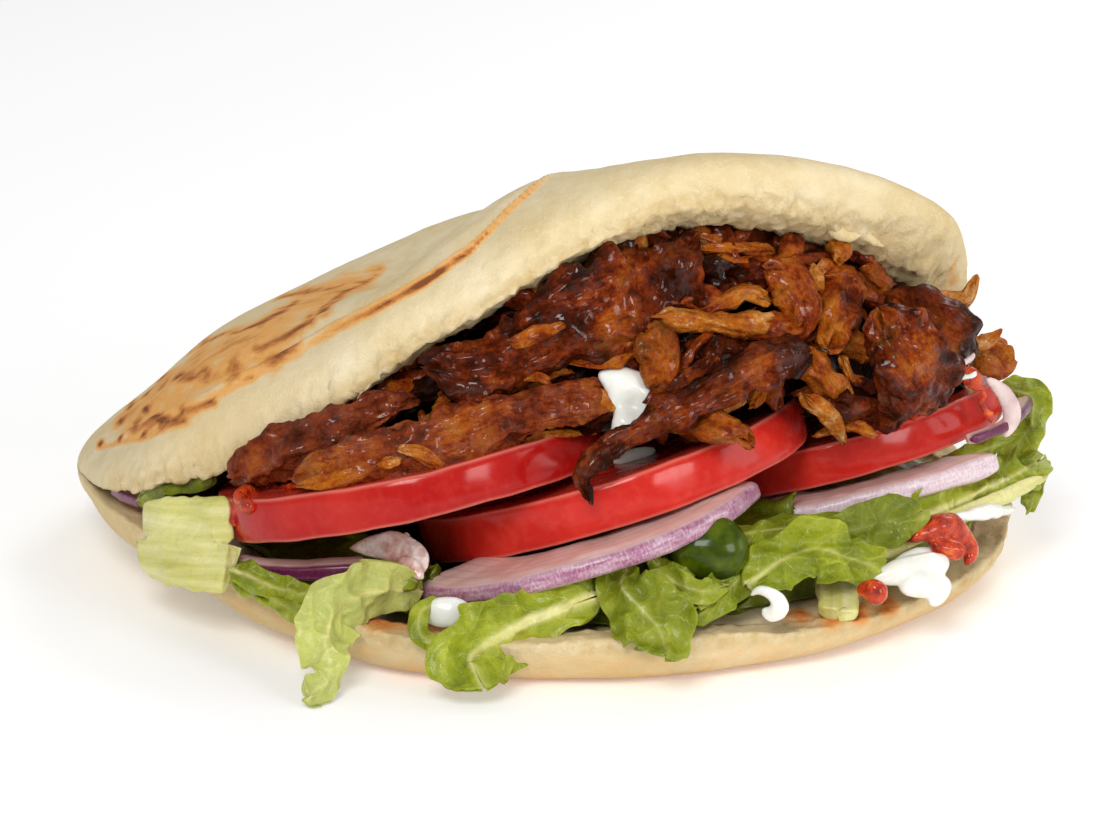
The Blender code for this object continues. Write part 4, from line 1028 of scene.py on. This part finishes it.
def lettuce_material():
    """Lettuce: thin waxy leaf that light shines through, yellow-green between fine pale veins, a watery pale
    rib. A shade above 0 darkens a leaf, partly its own deeper green and partly painted shade; below 0 it
    lightens the leaf as painted light."""
    made, tree, shader = start("fresh_lettuce", 0.34, 1.42, Coat_Weight=0.15, Coat_Roughness=0.15,
                               Specular_IOR_Level=0.25, Subsurface_Weight=0.3, Subsurface_Scale=0.0015,
                               Subsurface_Radius=(0.9, 1.0, 0.25))
    flow, length, across, _ = marks(tree, "flow")
    _, _, rib, green_depth_and_painted_shade = marks(tree, "tint")
    wobble = add(tree, "noise", place(tree, 3.5), Detail=2)
    broad = add(tree, "noise", place(tree, 7))
    blister = add(tree, "noise", place(tree, 1.7), Detail=3)
    leaf_green = add(tree, "ramp", broad, (0.28, "#636E06"), (0.46, "#86920E"), (0.62, "#A2AA26"),
                     (0.8, "#C4C664"))
    off_middle = add(tree, "absolute", across)
    slant = add(tree, "subtract", length, add(tree, "multiply", off_middle, 0.9))
    slant = add(tree, "add", slant, add(tree, "multiply", wobble, 4.0))
    wave = add(tree, "absolute", add(tree, "sine", add(tree, "multiply", slant, 0.7)))
    vein = add(tree, "ramp", wave, (0.0, 1.0), (0.09, 0.0))
    net = add(tree, "cells", place(tree, 2.8), feature="DISTANCE_TO_EDGE")
    net = add(tree, "ramp", net, (0.0, 0.9), (0.05, 0.0))
    middle = add(tree, "ramp", off_middle, (0.0, 1.0), (0.9, 0.0))
    middle = add(tree, "multiply", middle, add(tree, "ramp", length, (0.0, 0.9), (1.0, 0.35)))
    lines = add(tree, "maximum", add(tree, "multiply", vein, 0.55), add(tree, "multiply", middle, 0.5))
    lines = add(tree, "maximum", lines, add(tree, "multiply", net, 0.3))
    leaf_green = add(tree, "mix", lines, leaf_green, "#D6D68A")
    # shade above 0 darkens the leaf towards deep olive, partly its own colour and partly painted shade; below
    # 0 the next mix lightens it, painted light
    dark = add(tree, "multiply", green_depth_and_painted_shade, add(tree, "ramp", broad, (0.3, 1.0), (0.75, 0.55)))
    leaf_green = add(tree, "mix", dark, leaf_green, "#4A5405")
    leaf_green = add(tree, "mix", add(tree, "multiply", green_depth_and_painted_shade, -1.0), leaf_green, "#CDCF84")
    stripes = add(tree, "noise", add(tree, "mapping", flow, (0.04, 0.4, 1.0)))
    pale = add(tree, "ramp", stripes, (0.3, "#BDB956"), (0.5, "#D3CE84"), (0.7, "#E4DFA6"))
    tree.links.new(add(tree, "mix", rib, leaf_green, pale), shader.inputs["Base Color"])
    ribbing = add(tree, "multiply", stripes, rib)
    relief(tree, shader, (lines, 0.5, 0.4), (blister, 0.6, 0.8), (ribbing, 0.3, 0.4))
    return made


def leaf(number, lean, crinkle, green_depth_and_painted_shade, rib, stations):
    """A torn piece of leaf: a thin sheet carried along a spline, both faces in one closed ring of points.
    It is creased by ridged noise, its edges wave more than its middle, and its outline is cut ragged. A
    rib is thicker and calmer."""
    length = spline_length(stations)
    line = along(stations, int(np.clip(length / 0.45, 30, 110)))
    line[:, 3] = np.clip(line[:, 3], 0.8, None) ** 0.55 * line[:, 3].max() ** 0.45
    way, flat, deep = facing(line)
    share = np.linspace(0, 1, len(line))
    tilt = math.radians(lean) + 0.35 * noise(stacked(share * length / 12, number, 0.0), 1.0, number)
    broad = (flat * np.cos(tilt)[:, None] + deep * np.sin(tilt)[:, None])[:, None]
    share = share[:, None]
    out = np.cross(way[:, None], -broad)
    turn = circle(100)
    across, over = np.cos(turn), np.sign(np.sin(turn) + 1e-9)
    far = np.abs(across)
    all_rib = rib > 0.9
    calm = 0.3 if all_rib else 1.0
    edge_line = stacked(share * length / 4, np.sign(across) * 3, number)
    outline = 1 + calm * (0.20 * noise(edge_line, 1.0, number) + 0.16 * noise(edge_line, 0.4, number + 1))
    wide = line[:, 3:4] * closed_ends(share, 22, 0.02, 0.5) * outline
    side = across * wide
    at = line[:, None, :3] + broad * side[..., None]
    end_wave = noise(stacked(across * 2.2 + 0 * share, number, 0.0), 0.9, number + 6)
    end_wave = end_wave * min(0.14 * length, 3.5)
    end_wave = (smooth((share - 0.75) / 0.25) - smooth((0.25 - share) / 0.25)) * end_wave
    phase = share * length / 1.7 + 2.4 * noise(at, 7, number) + 1.4 * np.sign(across)
    ruffle = np.sin(phase) * far**1.8 * crinkle * 0.8
    creased = 1 - 2.6 * np.abs(noise(at, 6.0, number + 2)) ** 0.8
    fine = 1 - 2.6 * np.abs(noise(at, 2.7, number + 3)) ** 0.8
    buckle = crinkle * (0.75 * creased + 0.32 * fine + 0.5 * noise(at, 12, number + 7))
    lift = (ruffle + buckle) * calm - 0.11 * wide * (1 - far) + 0.12 * wide
    thickness = 0.34 + 0.45 * bell(side, 1.2) + (1.0 if all_rib else 0.0)
    sheet = thickness * (1 - far**8) ** 0.5 * over
    points = at + out * (lift + sheet)[..., None] + way[:, None] * end_wave[..., None]
    points[..., 2] = np.maximum(points[..., 2], 0.35 + 0.2 * (over + 1))
    ribbed = 1.0 if all_rib else smooth((rib * 3.2 * (1 - 0.6 * share) - np.abs(side)) / 1.2)
    return tube(points, stacked(share * length, side, 10.0 * number), stacked(far + 0 * share, ribbed, green_depth_and_painted_shade))


def make_lettuce():
    """The named leaves one by one, the loose ones as one piece, and the core of the bed under them."""
    fresh = lettuce_material()
    loose = []
    for number, (name, row) in enumerate(LEAVES.items()):
        part = leaf(number, *row)
        if name.startswith("lettuce"):
            piece(name.replace("lettuce", "fresh"), [part], fresh, "lettuce", name)
        else:
            loose.append(part)
    piece("fresh_loose_leaves", loose, fresh, "lettuce", "lettuce_bed")
    # the bed core gets a shade of 0.9: painted shade under and between the leaves
    piece("fresh_bed_core", [core("lettuce_bed", 1.6, 5, (0.5, 0.0, 0.9))], fresh, "lettuce")


make_lettuce()


# ---------- pepper and sauces ----------
# kind, half thickness, wobble, then (x, y, z, half width) along each
PEPPERS = (
    ("pepper", 4.6, .1, ((24, -74, 21.1, 1.9), (27.7, -76, 22.5, 5), (32.9, -76, 23.1, 6.3),
        (37, -74, 22.7, 3.7))),
    ("pepper", 2.5, .3, ((60.4, -64, 14.8, 0.9), (64.6, -64, 15, 1.7), (69.3, -62, 13.7, 0.8))),
)
SAUCES = (
    ("white", 2.4, 0.35, ((9.9, -65.9, 54.4, 2), (14.7, -66.1, 51.4, 4.5), (16.6, -66, 47.1, 4.5),
        (14.3, -66.9, 42.7, 2.6), (11.9, -33.2, 30.3, 1.4))),
    ("white", 1, 0.3, ((12.3, -52.7, 32.8, 0.8), (16.4, -53.5, 34.3, 1.7), (21, -52.8, 35.6, 1.1))),
    ("smear", 0.9, 0.25, ((-37, -66, 20, 1.1), (-32, -67.5, 21, 2.2), (-27.5, -69, 21, 3),
        (-24.5, -71, 19.8, 2.8), (-22.8, -74, 17.5, 2))),
    ("smear", 0.7, 0.3, ((-27.4, -72, 19.7, 1.5), (-24.4, -74, 18.8, 1.5), (-22.5, -76, 17.1, 1.1))),
    ("smear", 0.35, 0.4, ((-34.8, -64, 20.5, 0.6), (-30.1, -65, 22, 0.8), (-25, -66, 22.7, 0.8))),
    ("white", 1.1, 0.2, ((37.8, -84, 16.5, 0.8), (39.5, -85, 18, 1.2), (42.3, -86, 17.2, 1.5),
        (43.3, -86, 15, 1.8), (41.8, -86, 13.8, 1.8), (39.8, -85, 14.2, 1.4))),
    ("white", 2.2, 0.2, ((60.9, -69, 15, 1.4), (66.2, -67, 15.6, 2.6), (72.2, -64, 15.6, 3),
        (75.9, -59, 15.4, 2))),
    ("white", 2, 0.2, ((66.5, -70, 13.6, 1.9), (71.2, -67, 13.4, 2.8), (74.9, -62, 12.8, 2.4))),
    ("white", 1.5, 0.2, ((73.7, -63, 13.3, 2.5), (74.4, -65, 11.1, 1.9), (72.4, -69, 10.1, 1.1))),
    ("white", 1.2, 0.35, ((63.7, -66, 15.4, 1.1), (69, -60, 16.9, 1.1), (74.9, -56, 16.4, 1.1))),
    ("white", 1.4, 0.35, ((77.2, -50, 20.9, 0.8), (84.2, -42, 19.8, 1.4), (91.6, -30, 16.6, 1.4))),
    ("white", 1.2, 0.3, ((-22.5, -85, 14.2, 1.8), (-18.5, -86.2, 14.2, 2.8), (-13.5, -86, 14.6, 2.2))),
    ("chili", 1.9, 0.5, ((68, -59, 19.3, 1.1), (71.9, -58, 20.8, 2.1), (75.9, -55, 21.1, 2.1),
        (78.9, -53, 18.6, 2.1), (81.1, -53, 15.3, 2.1), (80, -55, 13.1, 1.3))),
    ("chili", 1.6, 0.6, ((72.8, -59, 18.9, 1.3), (76.3, -58, 17.4, 1.5), (79, -57, 15.7, 1.3))),
    ("chili", 2, 0.6, ((58.2, -73.5, 14.3, 1.1), (60.9, -74.5, 14.4, 2.2), (63.8, -74.5, 13.1, 1.5))),
    ("chili", 1.3, 0.7, ((-45.4, -66.7, 32.5, 0.9), (-52.3, -58.1, 29.7, 1.5), (-56.5, -63.6, 29.6, 2.1),
        (-58.8, -64.2, 26.7, 1.7), (-58, -64.8, 23.7, 0.9))),
    ("chili", 1.2, 0.7, ((-55, -62.3, 31.2, 0.8), (-57.1, -65.4, 29.8, 1.3), (-54.6, -71, 29.1, 1.1))),
    ("chili", 0.7, 0.6, ((78.5, -37.5, 47.3, 1), (81.4, -37.5, 45.3, 1.8), (84.3, -37, 41.2, 1.8),
        (86, -36.5, 35.9, 1))),
    ("white", 0.7, 0.5, ((77.5, -38.5, 46.8, 0.8), (80.2, -38.5, 46, 1), (82.9, -38, 46.7, 0.8))),
    ("pale", 0.9, 0.08, ((84.6, -36, 44.9, 1.1), (88.2, -34, 41.4, 1.7), (90.2, -32, 36.4, 1.9),
        (88.8, -33, 32, 1.3))),
    ("chili", 0.8, 0.5, ((65, -39.6, 36, 0.6), (68.4, -34.6, 36.5, 1.4), (71.2, -48, 42, 1))),
    ("pale", 1.2, 0.5, ((77.9, -38, 49.1, 1), (80.4, -38, 48.7, 1.2), (82.4, -36, 50.1, 0.6))),
)


def blob(number, thick, wobble, stations, limit=70):
    """A smooth drop or smear: an oval carried along a spline, closed round at both ends, a little
    uneven."""
    length = spline_length(stations)
    count = int(np.clip(length / 0.45, 20, limit))
    share = 0.5 - 0.5 * np.cos(np.linspace(0.06, np.pi - 0.06, count))
    line = along(stations, 400)[np.minimum((share * 399).astype(int), 399)]
    _, broad, deep = facing(line)
    turn = circle(40)
    closing = closed_ends(share, 4, 0.0005, 0.5)[:, None]
    cos, sin = np.cos(turn), np.sin(turn)
    side = line[:, 3:4] * closing * cos
    out = thick * closing * signed_power(sin, 0.9)
    points = line[:, None, :3] + broad[:, None] * side[..., None] + deep[:, None] * out[..., None]
    grow = broad[:, None] * cos[..., None] + deep[:, None] * sin[..., None]
    lumps = 1.8 * noise(points, 5, number) + 1.0 * noise(points, 2.4, number)
    points = points + grow * (closing * wobble * lumps)[..., None]
    return tube(points, stacked(share[:, None] * length, side, 10.0 * number), np.zeros(3))


def wet_finish(name, roughness, stops, size, bumps, **values):
    """A wet food finish: a colour that drifts with noise of the given size, and one layer of soft
    relief."""
    made, tree, shader = start(name, roughness, 1.4, **values)
    drift = add(tree, "noise", place(tree, size), Detail=3)
    tree.links.new(add(tree, "ramp", drift, *stops), shader.inputs["Base Color"])
    relief(tree, shader, (add(tree, "noise", place(tree, size / 3), Detail=2), *bumps))
    return made


def make_pepper():
    """A piece of green pepper in place of its node, and a strip of it at the right."""
    stops = (0.3, "#1E2B02"), (0.5, "#334303"), (0.75, "#5E6A10")
    green = wet_finish("raw_green_pepper", 0.2, stops, 6, (0.15, 0.5), Coat_Weight=0.35, Coat_Roughness=0.1,
                       Coat_IOR=1.4, Specular_IOR_Level=0.1)
    names = (("pepper_piece", "green_pepper"), ("pepper_strip",))
    for number, ((name, *nodes), (_, *row)) in enumerate(zip(names, PEPPERS)):
        piece(name, [blob(number + 60, *row, 90)], green, "pepper", *nodes)


def make_sauces():
    """The sauces and a loose sliver of onion skin, a piece for each kind, their drops run together and
    settled."""
    finishes = {
        "white": wet_finish("yoghurt_sauce", 0.28, ((0.3, "#DDDCD0"), (0.6, "#EEEEE6")), 8, (0.15, 0.5),
                            Coat_Weight=0.5, Coat_Roughness=0.08, Subsurface_Weight=0.2,
                            Subsurface_Scale=0.003),
        "smear": wet_finish("thin_yoghurt", 0.25, ((0.35, "#C08A7C"), (0.5, "#D6BDB2"), (0.62, "#EBE3DC")), 3,
                            (0.4, 0.5), Coat_Weight=0.5, Coat_Roughness=0.1),
        "chili": wet_finish("chili_sauce", 0.25, ((0.3, "#7E1A04"), (0.46, "#B4300C"), (0.58, "#C9420F"),
                                                  (0.72, "#DE6A22")), 2.2, (0.9, 0.8), Coat_Weight=0.5,
                            Coat_Roughness=0.08, Specular_IOR_Level=0.25),
        "pale": wet_finish("onion_skin", 0.3, ((0.3, "#C4A8A8"), (0.6, "#DAC6C0")), 4, (0.3, 0.4)),
    }
    slots = {"white": "onion", "smear": "onion", "chili": "tomato", "pale": "onion"}
    for kind, finish in finishes.items():
        parts = [blob(number + 70, *row[1:]) for number, row in enumerate(SAUCES) if row[0] == kind]
        pool = piece(finish.name + "_drops", parts, finish, slots[kind])
        joined = pool.modifiers.new("run_together", "REMESH")
        joined.mode = "VOXEL"
        joined.voxel_size = 0.4 * MM
        joined.use_smooth_shade = True
        settled = pool.modifiers.new("settled", "SMOOTH")
        settled.factor = 0.5
        settled.iterations = 4


make_pepper()
make_sauces()


# ---------- torn crumb at the mouth ----------
# half thickness, unevenness, then (x, y, z, half width) along each flap
FLAPS = (
    (0.8, 1.0, ((53.5, -40.5, 76.5, 1.2), (56.5, -41, 74.6, 1.5), (60, -40, 74.2, 0.7))),
    (0.7, 1.0, ((57, -39, 76, 0.9), (61.5, -38.5, 73.8, 1.1), (64.5, -37, 71.2, 0.6))),
    (0.7, 0.9, ((-33.8, -62.5, 54, 1.3), (-33.6, -64, 51.2, 1.1), (-35, -64.4, 48.8, 0.5))),
)


def make_flaps():
    """Shreds of crumb that hang from the lip, in the loaf's own material."""
    parts = []
    for number, row in enumerate(FLAPS):
        points, quads, ends, _, _ = blob(number + 90, *row)
        parts.append((points, quads, ends, np.zeros_like(points), np.zeros_like(points) + (0.6, 0, 0)))
    piece("bread_torn_flaps", parts, loaf.data.materials[0], "bread")


make_flaps()


# ---------- camera, light and floor ----------
FLOOR_REACH = 3.0   # metres from the middle to the floor's edge
AIM = np.array((2.8, 0.0, 27.0)) * MM   # what the camera looks at, from the loaf's middle
VIEW_DISTANCE, VIEW_WIDTH = 1.0, 0.224   # metres to that point, and metres seen across at it
# name, place in metres, size, power
LAMPS = (
    ("key", (-0.2, -1.05, 0.8), 0.42, 8.6),
    ("fill", (0.75, -0.95, 0.4), 0.35, 3.6),
    ("rim", (0.5, 0.7, 0.8), 0.5, 3.2),
    ("side", (1.0, -0.25, 0.3), 0.4, 1.4),
)
LAMP_AIM = (0, 0, 0.03)


def set_stage():
    """A white table, soft light from above and in front, and the camera looking down at the mouth."""
    scene = bpy.context.scene
    corners = [(x * FLOOR_REACH, y * FLOOR_REACH, 0) for x, y in ((-1, -1), (1, -1), (1, 1), (-1, 1))]
    mesh = bpy.data.meshes.new("floor")
    mesh.from_pydata(corners, [], [(0, 1, 2, 3)])
    floor = bpy.data.objects.new("floor", mesh)
    scene.collection.objects.link(floor)
    paper, _, _ = start("white_table", 0.9, Emission_Strength=0.2, Base_Color="#F7F7F7",
                        Emission_Color="#F7F7F7")
    mesh.materials.append(paper)
    world = bpy.data.worlds.new("studio")
    scene.world = world
    world.use_nodes = True
    sky = world.node_tree.nodes["Background"]
    sky.inputs["Color"].default_value = (1, 1, 1, 1)
    sky.inputs["Strength"].default_value = 0.46
    for name, where, size, power in LAMPS:
        lamp = bpy.data.lights.new(name, "AREA")
        lamp.energy = power
        lamp.size = size
        obj = bpy.data.objects.new(name, lamp)
        scene.collection.objects.link(obj)
        obj.location = where
        back = np.array(where) - LAMP_AIM
        level = math.hypot(back[0], back[1])
        obj.rotation_euler = (math.atan2(level, back[2]), 0, math.atan2(back[0], -back[1]))
    camera = bpy.data.cameras.new("camera")
    camera.sensor_width = 36.0
    camera.lens = camera.sensor_width * VIEW_DISTANCE / VIEW_WIDTH
    eye = bpy.data.objects.new("camera", camera)
    scene.collection.objects.link(eye)
    eye.location = CENTRE + AIM + OUTWARD * VIEW_DISTANCE
    eye.rotation_euler = (math.pi / 2 - TILT, 0, 0)
    scene.camera = eye
    scene.view_settings.view_transform = "Standard"


set_stage()
